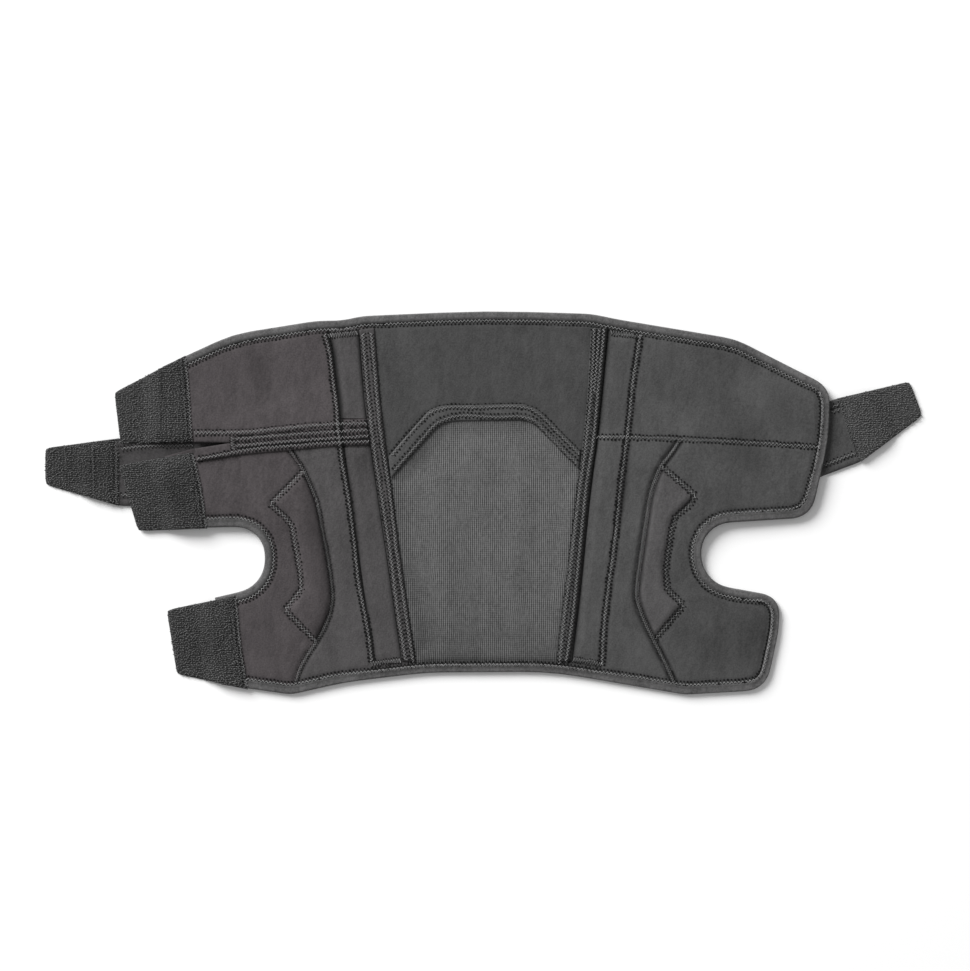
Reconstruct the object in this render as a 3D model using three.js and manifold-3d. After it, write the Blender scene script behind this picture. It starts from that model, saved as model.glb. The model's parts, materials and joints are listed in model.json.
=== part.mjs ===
// Wrap-around knee support, opened out and lying flat with its skin side up.
// Millimetres, +Z up. X runs along the wrap, Y from the shin end to the thigh end, and the
// origin is on the ground at the middle of the whole outline.
import * as THREE from 'three';
import { mergeVertices } from 'three/addons/utils/BufferGeometryUtils.js';
import Module from 'manifold-3d';

const wasm = await Module();
wasm.setup();

// Thicknesses of the sheets and layers
const NEOPRENE = 3.0;
const KNIT = 1.8;
const BINDING = 3.2;
const TAPE = 1.0;
const HOOK_SHEET = 1.4;
const STRAP = 2.2;
const PAD_RISE = 2.2;
const CHANNEL_RISE = 2.6;

// Clearances and edge softness
const LAYER_GAP = 0.3;
const SEAM_GAP = 0.4;
const SOFT_EDGE = 0.5;
const BINDING_ROUND = 1.4;
const TAB_CLEARANCE = 0.6;
const TAB_REST = 0.3;

// The rolled edge, and how far a hook tab takes to come down from the wing's end
const BINDING_WIDTH = 5.6;
const TAB_DROP_LENGTH = 22;

// The two straps under the wings, and how far the wing takes to come down beside one
const STRAP_WIDTH = 43;
const STRAP_REACH = 137;
const STRAP_UNDER_TAB = 16.5;
const STRAP_TAB_LENGTH = 47.1;
const STRAP_TIP_RADIUS = 2.6;
const UPPER_TAPER = THREE.MathUtils.degToRad(7.5);
const LOWER_TAPER = THREE.MathUtils.degToRad(16);
const LIFT_RAMP = 40;

// How closely the facets follow arcs and bends
const ARC_TOLERANCE = 0.2;
const BEND_TOLERANCE = 0.1;
const TAB_BEND_TOLERANCE = 0.25;
const BEND_PASSES = 6;
const FAR = 320;

// Turns rows of numbers into objects with the named columns.
const table = (columns, rows) =>
  rows.map((row) => Object.fromEntries(columns.map((name, i) => [name, row[i] ?? 0])));

// The wrap's outer edge without its slit, clockwise from the upper wing end; r is the corner's radius.
const BODY_EDGE = table(['x', 'y', 'r'], [
  [-204.5, 83.6],
  [-158.6, 107.3, 80],
  [-105.5, 115.8, 80],
  [-89, 116, 30],
  [-76.5, 118.8, 30],
  [3, 122.3, 800],
  [69.5, 120.2, 60],
  [86, 116.7, 60],
  [161, 104.2, 50],
  [220.6, 73.6, 15],
  [220, 41.9, 120],
  [208.6, -9.2, 15],
  [138.9, -13.5, 21],
  [138.9, -50.5, 21],
  [188.9, -59.5, 15.5],
  [188.5, -80.6, 80],
  [180, -118.9, 16],
  [128.6, -121.8, 7.6],
  [42.9, -107.2, 220],
  [-36, -107.8, 200],
  [-87.3, -114, 200],
  [-121.6, -121.8, 9.5],
  [-165.4, -114.8],
  [-171.8, -61.9],
  [-138.3, -52.8, 20.4],
  [-138.3, -14.8, 20.4],
  [-191.5, -16.2],
  [-203, 33],
]);
// The rows of BODY_EDGE that are wing ends, covered by the hook tabs and not bound.
const WING_END_CORNERS = [0, 22, 23, 26, 27];

// The open slit between the upper and middle hook tabs
const SLIT = [[-240, 38.6], [-185.7, 38.6], [-159.7, 38.1], [-185.7, 34], [-201.6, 29.6], [-240, 19.8]];

// Sections across the two stay channels and seam tapes: the channel's outer line, the line
// between channel and tape, and the tape's inner line, on the left and on the right.
const CROSS_LINES = table(
  ['y', 'leftOuter', 'leftTape', 'leftInner', 'rightInner', 'rightTape', 'rightOuter'],
  [
    [130, -100.3, -79.7, -70.3, 69.8, 81.5, 102.3],
    [65.4, -92.7, -74.9, -65.1, 66.4, 75.6, 94.6],
    [1.9, -84.8, -66.0, -57.2, 60.0, 67.9, 86.7],
    [-61.6, -75.9, -56.5, -48.3, 51.8, 61.6, 79.4],
    [-130, -66.4, -47, -38.7, 44.2, 53, 73.4],
  ],
);

// Sewn lines of the panels, each from its start to its end
const LEFT_CROSS_SEAM = [[-FAR, 38.1], [-159.7, 38.1], [-115.9, 41.6], [-90.5, 43.5], [-60, 45.8]];
const RIGHT_CROSS_SEAM = [[60, 42], [131.8, 40.3], [FAR, 29]];
const LEFT_CRESCENT_SEAM = [
  [-128, 45], [-113.3, 21], [-105.1, -1.3], [-98.1, -36.2], [-95.3, -59.7], [-97.5, -71.1], [-105.7, -88.3],
  [-114, -101], [-124, -135],
];
const RIGHT_CRESCENT_SEAM = [
  [128, 45], [113.3, 23.5], [106.4, 5.1], [101.9, -23.5], [98.4, -48.9], [97.8, -59.7], [100, -67.9],
  [108.9, -87.6], [118.4, -106.7], [130, -135],
];
// The crescent pads' edges towards the notch, from the lower tip to the upper
const LEFT_CRESCENT_EDGE = table(['x', 'y', 'r'], [
  [-125.7, -68.3], [-114.3, -54.6, 3], [-121.6, -11.4, 6], [-134.3, -0.3],
]);
const RIGHT_CRESCENT_EDGE = table(['x', 'y', 'r'], [
  [127.6, -64.8], [117.2, -54.6, 5], [116.2, -43.8, 10], [121, -10.2, 4], [134.9, 4.1],
]);

// The trim over the knit panel's top edge: its outer and inner lines, left to right
const TRIM_OUTER = table(['x', 'y', 'r'], [
  [-62, 26.8], [-33.3, 59.7, 8], [-25.7, 61.9, 6], [27.6, 62.9, 8], [36.5, 58.4, 5], [64.5, 30.2],
]);
const TRIM_INNER = table(['x', 'y', 'r'], [
  [-58.5, 15.2], [-27, 50.2, 10], [-17.5, 52.1, 8], [27, 52.7, 7], [34.6, 48.9, 5], [61.8, 20.6],
]);
const TRIM_END_INSET = 0.9;

// The binding round the slit, which runs on to the seam tape as a band
const SLIT_BINDING = table(['x', 'y', 'r'], [
  [-183.2, 46.4], [-154, 46, 60], [-93.7, 52.1, 60], [-73.7, 53],
  [-71.4, 36.8], [-93.7, 35.9, 60], [-154, 30.5, 60], [-181.4, 26.2],
]);

// Hook tabs sewn on the wing ends; end is the line of the wing's end, from its lower to its upper point
const HOOK_TABS = [
  {
    name: 'upper_hook_tab',
    outline: table(['x', 'y', 'r'], [
      [-234, 70.3, 3], [-188.6, 93.6], [-185.9, 65.4, 80], [-184.2, 38.7], [-229.8, 37.5, 1.5],
    ]),
    end: [[-203.5, 39], [-204.5, 86]],
  },
  {
    name: 'middle_hook_tab',
    outline: table(['x', 'y', 'r'], [
      [-231, 24, 2.5], [-183.8, 32], [-178.8, 11.4, 80], [-174.6, -16.2], [-218.7, -17.8, 2.5],
    ]),
    end: [[-191.5, -16.2], [-201.6, 29.8]],
  },
  {
    name: 'lower_hook_tab',
    outline: table(['x', 'y', 'r'], [
      [-200.8, -68.1, 2.6], [-156.4, -58.8], [-154, -87, 90], [-149, -118.4], [-194.3, -108.7, 3],
    ]),
    end: [[-165.4, -114.3], [-171.8, -61.9]],
  },
];

// Where each strap is sewn on, its direction, and 1 or -1 for the way it runs
const STRAPS = [
  { side: 'left', root: [-93.9, 19.6], turn: 0, way: -1 },
  { side: 'right', root: [104.7, -2], turn: 20.65, way: 1 },
];

// Sections along each stay channel: where it lies and what share of its height it has there
const CHANNELS = [
  {
    name: 'left_upper_stay_channel', outer: 'leftOuter', inner: 'leftTape',
    sections: table(['y', 'rise'], [[111, 0.35], [106, 1], [82, 1], [58, 1], [53.8, 0.35]]),
  },
  {
    name: 'left_lower_stay_channel', outer: 'leftOuter', inner: 'leftTape',
    sections: table(['y', 'rise'], [[35, 0.35], [30, 1], [-20, 1], [-60, 1], [-97, 1], [-101.5, 0.35]]),
  },
  {
    name: 'right_stay_channel', outer: 'rightOuter', inner: 'rightTape',
    sections: table(['y', 'rise'], [
      [107.5, 0.35], [102.5, 1], [72, 1], [46, 0.95], [41.6, 0.55], [37, 0.95], [0, 1], [-50, 1], [-96, 1],
      [-100.5, 0.35],
    ]),
  },
];
const CHANNEL_ARCH_STEPS = 6;
const CHANNEL_SEW_MARGIN = 1.6;
const CHANNEL_TAPE_MARGIN = 0.5;

// Finishes
const CLOTH_GREY = 0x504e50;
const KNIT_GREY = 0x5b5c5b;
const HOOK_GREY = 0x3c3d3d;
const finish = (color, roughness) => new THREE.MeshStandardMaterial({ color, roughness, metalness: 0 });
const NEOPRENE_FACE = finish(CLOTH_GREY, 0.85);
const BINDING_FACE = finish(0x565656, 0.8);
const KNIT_FACE = finish(KNIT_GREY, 0.9);
const HOOK_FACE = finish(HOOK_GREY, 0.95);

const point = ([x, y]) => new THREE.Vector2(x, y);
const smooth = (from, to, value) => THREE.MathUtils.smoothstep(value, from, to);

// The points of one corner: the corner itself, or the arc that rounds it.
function cornerPoints(before, corner, after) {
  const at = new THREE.Vector2(corner.x, corner.y);
  if (!corner.r) return [at];
  const back = new THREE.Vector2(before.x, before.y).sub(at);
  const on = new THREE.Vector2(after.x, after.y).sub(at);
  const half = back.angleTo(on) / 2;
  const reach = Math.min(corner.r / Math.tan(half), 0.48 * back.length(), 0.48 * on.length());
  const radius = reach * Math.tan(half);
  const start = at.clone().addScaledVector(back.normalize(), reach);
  const stop = at.clone().addScaledVector(on.normalize(), reach);
  const centre = at.clone().addScaledVector(back.clone().add(on).normalize(), radius / Math.sin(half));
  const turn = Math.PI - 2 * half;
  const step = 2 * Math.acos(1 - Math.min(ARC_TOLERANCE / radius, 0.5));
  const count = Math.max(1, Math.ceil(turn / step));
  const from = start.clone().sub(centre).angle();
  const sense = Math.sign(start.clone().sub(centre).cross(stop.clone().sub(centre)));
  return Array.from({ length: count + 1 }, (_, i) => {
    const angle = from + (sense * turn * i) / count;
    return new THREE.Vector2(centre.x + radius * Math.cos(angle), centre.y + radius * Math.sin(angle));
  });
}

// A closed outline through rows with rounded corners.
function closedOutline(rows) {
  const size = rows.length;
  return rows.flatMap((corner, i) => cornerPoints(rows[(i + size - 1) % size], corner, rows[(i + 1) % size]));
}

// An open line through rows with rounded corners.
function openLine(rows) {
  return rows.flatMap((corner, i) =>
    cornerPoints(rows[Math.max(i - 1, 0)], i % (rows.length - 1) ? corner : { ...corner, r: 0 },
      rows[Math.min(i + 1, rows.length - 1)]));
}

// A smooth line through a few points.
function smoothLine(points, perSpan = 4) {
  return new THREE.SplineCurve(points.map(point)).getPoints(perSpan * (points.length - 1));
}

// Where a column of CROSS_LINES lies at a height y.
function crossAt(column, y) {
  const i = Math.max(1, CROSS_LINES.findIndex((row) => row.y <= y));
  const [above, below] = [CROSS_LINES[i - 1], CROSS_LINES[i]];
  return THREE.MathUtils.mapLinear(y, above.y, below.y, above[column], below[column]);
}

// The line halfway between two columns of CROSS_LINES.
const betweenLines = (a, b) => CROSS_LINES.map((row) => new THREE.Vector2((row[a] + row[b]) / 2, row.y));

// A place in a strap's own frame, which starts at its root and runs towards its tip.
function inStrap({ root, turn, way }, x, y) {
  const angle = THREE.MathUtils.degToRad(turn);
  const dx = x - root[0];
  const dy = y - root[1];
  return {
    along: way * (dx * Math.cos(angle) + dy * Math.sin(angle)),
    across: dy * Math.cos(angle) - dx * Math.sin(angle),
  };
}

// How high the wrap is lifted where it lies over a strap.
function lift(x, y) {
  const shares = STRAPS.map((strap) => {
    const { along, across } = inStrap(strap, x, y);
    const outside = Math.hypot(Math.max(0, -along), Math.max(0, Math.abs(across) - STRAP_WIDTH / 2));
    return 1 - smooth(0, LIFT_RAMP, outside);
  });
  return (STRAP + LAYER_GAP) * Math.max(...shares);
}

// A flat solid over an outline, with softened edges, from one height to another.
function prism(outline, bottom, top, { soft = SOFT_EDGE, steps = 1, gap = 0 } = {}) {
  const geometry = new THREE.ExtrudeGeometry(new THREE.Shape(outline), {
    depth: top - bottom - 2 * soft,
    bevelEnabled: soft > 0,
    bevelThickness: soft,
    bevelSize: soft,
    bevelOffset: -soft - gap / 2,
    bevelSegments: steps,
    steps: 1,
  });
  return geometry.translate(0, 0, bottom + soft);
}

// A geometry with its shared points joined and only its positions kept.
function joined(geometry) {
  const bare = new THREE.BufferGeometry().setAttribute('position', geometry.getAttribute('position'));
  if (geometry.index) bare.setIndex(geometry.index);
  return mergeVertices(bare, 1e-4);
}

// A closed geometry as a solid that can be joined and cut.
function solid(geometry) {
  const { attributes, index } = joined(geometry);
  return new wasm.Manifold(new wasm.Mesh({
    numProp: 3,
    vertProperties: attributes.position.array,
    triVerts: new Uint32Array(index.array),
  }));
}

// A solid as a geometry again.
function geometryOf(made) {
  const { vertProperties, triVerts } = made.getMesh();
  return new THREE.BufferGeometry()
    .setAttribute('position', new THREE.BufferAttribute(vertProperties, 3))
    .setIndex(new THREE.BufferAttribute(triVerts, 1));
}

// The parts of a triangle whose marked edges have middles; an edge without one holds undefined.
function splitTriangle([a, b, c], [ab, bc, ca]) {
  const marked = [ab, bc, ca].filter((middle) => middle !== undefined).length;
  if (marked === 0) return [[a, b, c]];
  if (marked === 3) return [[a, ab, ca], [ab, b, bc], [ca, bc, c], [ab, bc, ca]];
  const turned = marked === 1 ? ab === undefined : ca !== undefined;
  if (turned) return splitTriangle([b, c, a], [bc, ca, ab]);
  return marked === 1 ? [[a, ab, c], [ab, b, c]] : [[ab, b, bc], [a, ab, bc], [a, bc, c]];
}

// Raises a geometry by height(x, y), after splitting each edge that would stray from that bend.
function bent(geometry, height, tolerance = BEND_TOLERANCE) {
  const start = joined(geometry);
  const place = start.getAttribute('position');
  const pointAt = (_, i) => new THREE.Vector3().fromBufferAttribute(place, i);
  const points = Array.from({ length: place.count }, pointAt);
  const corners = start.index.array;
  let triangles = Array.from({ length: corners.length / 3 }, (_, i) => [...corners.slice(3 * i, 3 * i + 3)]);
  const strays = (p, q) =>
    [0.25, 0.5, 0.75].some((t) => {
      const straight = THREE.MathUtils.lerp(height(p.x, p.y), height(q.x, q.y), t);
      const wanted = height(THREE.MathUtils.lerp(p.x, q.x, t), THREE.MathUtils.lerp(p.y, q.y, t));
      return Math.abs(wanted - straight) > tolerance;
    });
  for (let pass = 0; pass < BEND_PASSES; pass += 1) {
    const middles = new Map();
    const middle = (i, j) => {
      const key = i < j ? `${i} ${j}` : `${j} ${i}`;
      if (!middles.has(key)) {
        const split = strays(points[i], points[j]);
        if (split) points.push(points[i].clone().add(points[j]).multiplyScalar(0.5));
        middles.set(key, split ? points.length - 1 : undefined);
      }
      return middles.get(key);
    };
    triangles = triangles.flatMap(([a, b, c]) =>
      splitTriangle([a, b, c], [middle(a, b), middle(b, c), middle(c, a)]));
  }
  const raised = points.flatMap(({ x, y, z }) => [x, y, z + height(x, y)]);
  return new THREE.BufferGeometry()
    .setAttribute('position', new THREE.Float32BufferAttribute(raised, 3))
    .setIndex(triangles.flat());
}

// A solid through rings of equally many points, with its two ends closed.
function loft(rings) {
  const size = rings[0].length;
  const positions = rings.flat().flatMap((p) => p.toArray());
  const index = [];
  for (let r = 0; r + 1 < rings.length; r += 1) {
    for (let k = 0; k < size; k += 1) {
      const [a, b] = [r * size + k, r * size + ((k + 1) % size)];
      index.push(a, b, b + size, a, b + size, a + size);
    }
  }
  const last = (rings.length - 1) * size;
  for (let k = 1; k + 1 < size; k += 1) index.push(0, k + 1, k, last, last + k, last + k + 1);
  return new THREE.BufferGeometry()
    .setAttribute('position', new THREE.Float32BufferAttribute(positions, 3))
    .setIndex(index);
}

const wrap = new THREE.Group();

function addPiece(group, name, geometry, material) {
  const mesh = new THREE.Mesh(geometry, material);
  mesh.name = name;
  group.add(mesh);
}

// The body: an outer solid rounded as its binding is, and the core that the panels are cut from.
const widenedEdge = BODY_EDGE.map((row, i) =>
  (WING_END_CORNERS.includes(i) ? { ...row, x: row.x - BINDING_WIDTH } : row));
const bodyOutline = closedOutline(widenedEdge).reverse();

// An outline moved inwards by a distance; the outline runs anticlockwise.
function inset(outline, distance) {
  return outline.map((at, i) => {
    const back = at.clone().sub(outline[(i + outline.length - 1) % outline.length]).normalize();
    const on = outline[(i + 1) % outline.length].clone().sub(at).normalize();
    const inward = new THREE.Vector2(-back.y - on.y, back.x + on.x).normalize();
    const stretch = Math.max(0.5, inward.dot(new THREE.Vector2(-on.y, on.x)));
    return at.clone().addScaledVector(inward, distance / stretch);
  });
}

const coreOutline = inset(bodyOutline, BINDING_WIDTH);
const slitSolid = solid(prism(SLIT.map(point), -1, 2 * NEOPRENE, { soft: 0 }));

// Panels of neoprene and knit, butted along their seams
const leftSeam = betweenLines('leftTape', 'leftInner');
const rightSeam = betweenLines('rightInner', 'rightTape');
const trimSeam = openLine(TRIM_OUTER.map((row, i) => ({
  x: (row.x + TRIM_INNER[i].x) / 2,
  y: (row.y + TRIM_INNER[i].y) / 2,
  r: row.r,
})));
const trimAcross = [
  new THREE.Vector2(-90, trimSeam[0].y - 30),
  ...trimSeam,
  new THREE.Vector2(90, trimSeam.at(-1).y - 26),
];
const leftCross = LEFT_CROSS_SEAM.map(point);
const rightCross = RIGHT_CROSS_SEAM.map(point);
const leftCrescent = smoothLine(LEFT_CRESCENT_SEAM);
const rightCrescent = smoothLine(RIGHT_CRESCENT_SEAM);
const corner = (x, y) => new THREE.Vector2(x, y);

// Areas on one side of a sewn line, reaching past the wrap's edge
const leftWing = [corner(-FAR, 200), ...leftSeam, corner(-FAR, -200)];
const rightWing = [corner(FAR, 200), ...rightSeam, corner(FAR, -200)];
const middle = [...leftSeam, ...rightSeam.toReversed()];
const aboveLeftCross = [corner(-FAR, 200), corner(-60, 200), ...leftCross.toReversed()];
const belowLeftCross = [...leftCross, corner(-10, 45.8), corner(-10, -200), corner(-FAR, -200)];
const aboveRightCross = [corner(10, 42), ...rightCross, corner(FAR, 200), corner(10, 200)];
const belowRightCross = [corner(10, 42), ...rightCross, corner(FAR, -200), corner(10, -200)];
const outsideLeftCrescent = [corner(-FAR, 60), corner(-135, 60), ...leftCrescent, corner(-FAR, -135)];
const insideLeftCrescent = [corner(-135, 60), corner(-20, 60), corner(-20, -135), ...leftCrescent.toReversed()];
const outsideRightCrescent = [corner(FAR, 60), corner(135, 60), ...rightCrescent, corner(FAR, -135)];
const insideRightCrescent = [corner(135, 60), corner(10, 60), corner(10, -135), ...rightCrescent.toReversed()];
const aboveTrim = [corner(-90, 200), ...trimAcross, corner(90, 200)];
const belowTrim = [...trimAcross, corner(90, -200), corner(-90, -200)];

const PANELS = [
  { name: 'left_upper_panel', within: [aboveLeftCross, leftWing] },
  { name: 'left_outer_panel', within: [belowLeftCross, outsideLeftCrescent] },
  { name: 'left_inner_panel', within: [belowLeftCross, insideLeftCrescent, leftWing] },
  { name: 'centre_top_panel', within: [middle, aboveTrim] },
  { name: 'knit_panel', within: [middle, belowTrim], thickness: KNIT, material: KNIT_FACE },
  { name: 'right_upper_panel', within: [aboveRightCross, rightWing] },
  { name: 'right_inner_panel', within: [belowRightCross, insideRightCrescent, rightWing] },
  { name: 'right_outer_panel', within: [belowRightCross, outsideRightCrescent] },
];

for (const { name, within, thickness = NEOPRENE, material = NEOPRENE_FACE } of PANELS) {
  const core = solid(prism(coreOutline, 0, thickness, { gap: SEAM_GAP }));
  const cut = within.reduce(
    (made, outline) => made.intersect(solid(prism(outline, 0, thickness, { gap: SEAM_GAP }))), core);
  addPiece(wrap, name, bent(geometryOf(cut.subtract(slitSolid)), lift), material);
}

// The binding round the wrap's edge, in two runs that end under the hook tabs
const BINDING_RUNS = [
  {
    name: 'edge_binding',
    within: [
      [-203.5, 140], [-203.5, 72], [-110, 70], [-110, -95],
      [-166.5, -104], [-164.5, -140], [FAR, -140], [FAR, 140],
    ],
  },
  {
    name: 'notch_binding',
    within: [[-190, -5], [-190, -40], [-171, -40], [-169.5, -72], [-126, -72], [-126, -5]],
  },
];
const rim = solid(prism(bodyOutline, 0, BINDING, { soft: BINDING_ROUND, steps: 2 }))
  .subtract(solid(prism(coreOutline, -1, 2 * NEOPRENE, { soft: 0 })));
for (const { name, within } of BINDING_RUNS) {
  const run = rim.intersect(solid(prism(within.map(point), -1, 2 * NEOPRENE, { soft: 0 })));
  addPiece(wrap, name, bent(geometryOf(run), lift), BINDING_FACE);
}

// What is sewn on the panels' skin side
const ON_PANEL = NEOPRENE + LAYER_GAP;

function addLayer(name, outline, rise, options, material = NEOPRENE_FACE) {
  addPiece(wrap, name, bent(prism(outline, ON_PANEL, ON_PANEL + rise, options), lift), material);
}

// Seam tapes between the stay channels and the middle, ending at the binding
const TAPE_ENDS = { top: 111, shin: -100.5 };
const tapeStops = [TAPE_ENDS.top, ...CROSS_LINES.slice(1, -1).map((row) => row.y), TAPE_ENDS.shin];
for (const side of ['left', 'right']) {
  const outer = tapeStops.map((y) => corner(crossAt(`${side}Tape`, y), y));
  const inner = tapeStops.toReversed().map((y) => corner(crossAt(`${side}Inner`, y), y));
  addLayer(`${side}_seam_tape`, [...outer, ...inner], TAPE, { soft: 0.3 });
}

// The trim over the knit panel's top edge, held between the two tapes
const trimOutline = [...openLine(TRIM_OUTER), ...openLine(TRIM_INNER).reverse()];
const betweenTapes = CROSS_LINES.map(({ y, leftInner }) => corner(leftInner + TRIM_END_INSET, y))
  .concat(CROSS_LINES.toReversed().map(({ y, rightInner }) => corner(rightInner - TRIM_END_INSET, y)));
const trim = solid(prism(trimOutline, ON_PANEL, ON_PANEL + TAPE, { soft: 0.3 }))
  .intersect(solid(prism(betweenTapes, 0, 3 * NEOPRENE, { soft: 0 })));
addPiece(wrap, 'knit_panel_trim', bent(geometryOf(trim), lift), NEOPRENE_FACE);

// The slit's binding
const slitBand = solid(prism(closedOutline(SLIT_BINDING), ON_PANEL, ON_PANEL + TAPE, { soft: 0.3 }))
  .subtract(slitSolid);
addPiece(wrap, 'slit_binding', bent(geometryOf(slitBand), lift), NEOPRENE_FACE);

// Crescent pads beside the kneecap opening
const CRESCENTS = [
  { name: 'left_crescent_pad', seam: LEFT_CRESCENT_SEAM.slice(1, 7), edge: LEFT_CRESCENT_EDGE },
  { name: 'right_crescent_pad', seam: RIGHT_CRESCENT_SEAM.slice(1, 8), edge: RIGHT_CRESCENT_EDGE },
];
for (const { name, seam, edge } of CRESCENTS) {
  const seamSide = smoothLine(seam, 3).map(({ x, y }) => ({ x, y, r: 0 }));
  addLayer(name, closedOutline([...seamSide, ...edge]), PAD_RISE, { soft: 1, steps: 2, gap: 1.6 });
}

// Stay channels: arched tunnels sewn along both sides
for (const { name, outer, inner, sections } of CHANNELS) {
  const rings = sections.map(({ y, rise }) => {
    const way = Math.sign(crossAt(inner, y) - crossAt(outer, y));
    const from = crossAt(outer, y) + way * CHANNEL_SEW_MARGIN;
    const to = crossAt(inner, y) - way * CHANNEL_TAPE_MARGIN;
    return Array.from({ length: CHANNEL_ARCH_STEPS + 1 }, (_, k) => {
      const angle = (Math.PI * k) / CHANNEL_ARCH_STEPS;
      const x = THREE.MathUtils.lerp(from, to, (1 - Math.cos(angle)) / 2);
      return new THREE.Vector3(x, y, ON_PANEL + rise * CHANNEL_RISE * Math.sin(angle) ** 0.7);
    });
  });
  const facing = crossAt(inner, 0) < crossAt(outer, 0) ? rings : rings.map((ring) => ring.toReversed());
  addPiece(wrap, name, bent(loft(facing), lift), NEOPRENE_FACE);
}

// Hook tabs, which lie on the wing and come down past its end
function pastLine([[ax, ay], [bx, by]], x, y) {
  return ((bx - ax) * (y - ay) - (by - ay) * (x - ax)) / Math.hypot(bx - ax, by - ay);
}
for (const { name, outline, end } of HOOK_TABS) {
  const onWing = NEOPRENE + TAB_CLEARANCE;
  const height = (x, y) =>
    lift(x, y) + THREE.MathUtils.lerp(onWing, TAB_REST, smooth(0, TAB_DROP_LENGTH, pastLine(end, x, y)));
  const sheet = prism(closedOutline(outline), 0, HOOK_SHEET, { soft: 0.3 });
  addPiece(wrap, name, bent(sheet, height, TAB_BEND_TOLERANCE), HOOK_FACE);
}

// Straps under the wings, each with its own hook tab
const half = STRAP_WIDTH / 2;
const tabUpper = (along) => half - Math.tan(UPPER_TAPER) * (along - STRAP_REACH);
const tabLower = (along) => -half + Math.tan(LOWER_TAPER) * (along - STRAP_REACH);
const strapEnd = STRAP_REACH + STRAP_UNDER_TAB;
const tip = STRAP_REACH + STRAP_TAB_LENGTH;
const strapOutline = closedOutline(table(['x', 'y', 'r'], [
  [0, -half, 2], [STRAP_REACH, -half], [strapEnd, tabLower(strapEnd) + 0.4],
  [strapEnd, tabUpper(strapEnd) - 0.4], [STRAP_REACH, half], [0, half, 2],
]));
const strapTabOutline = closedOutline(table(['x', 'y', 'r'], [
  [STRAP_REACH, tabLower(STRAP_REACH)], [tip, tabLower(tip), STRAP_TIP_RADIUS + 1],
  [tip, tabUpper(tip), STRAP_TIP_RADIUS], [STRAP_REACH, tabUpper(STRAP_REACH)],
]));
const strapTabHeight = (x) =>
  THREE.MathUtils.lerp(STRAP + LAYER_GAP, TAB_REST, smooth(0.5, TAB_DROP_LENGTH, x - strapEnd));
for (const { side, root, turn, way } of STRAPS) {
  const strap = new THREE.Group();
  strap.position.set(root[0], root[1], 0);
  strap.rotation.z = THREE.MathUtils.degToRad(turn);
  strap.scale.x = way;
  addPiece(strap, `${side}_strap`, prism(strapOutline, 0, STRAP, { soft: 0.6 }), BINDING_FACE);
  const sheet = prism(strapTabOutline, 0, HOOK_SHEET, { soft: 0.3 });
  addPiece(strap, `${side}_strap_hook_tab`, bent(sheet, strapTabHeight, TAB_BEND_TOLERANCE), HOOK_FACE);
  wrap.add(strap);
}

export default wrap;
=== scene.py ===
import json
import math

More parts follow.
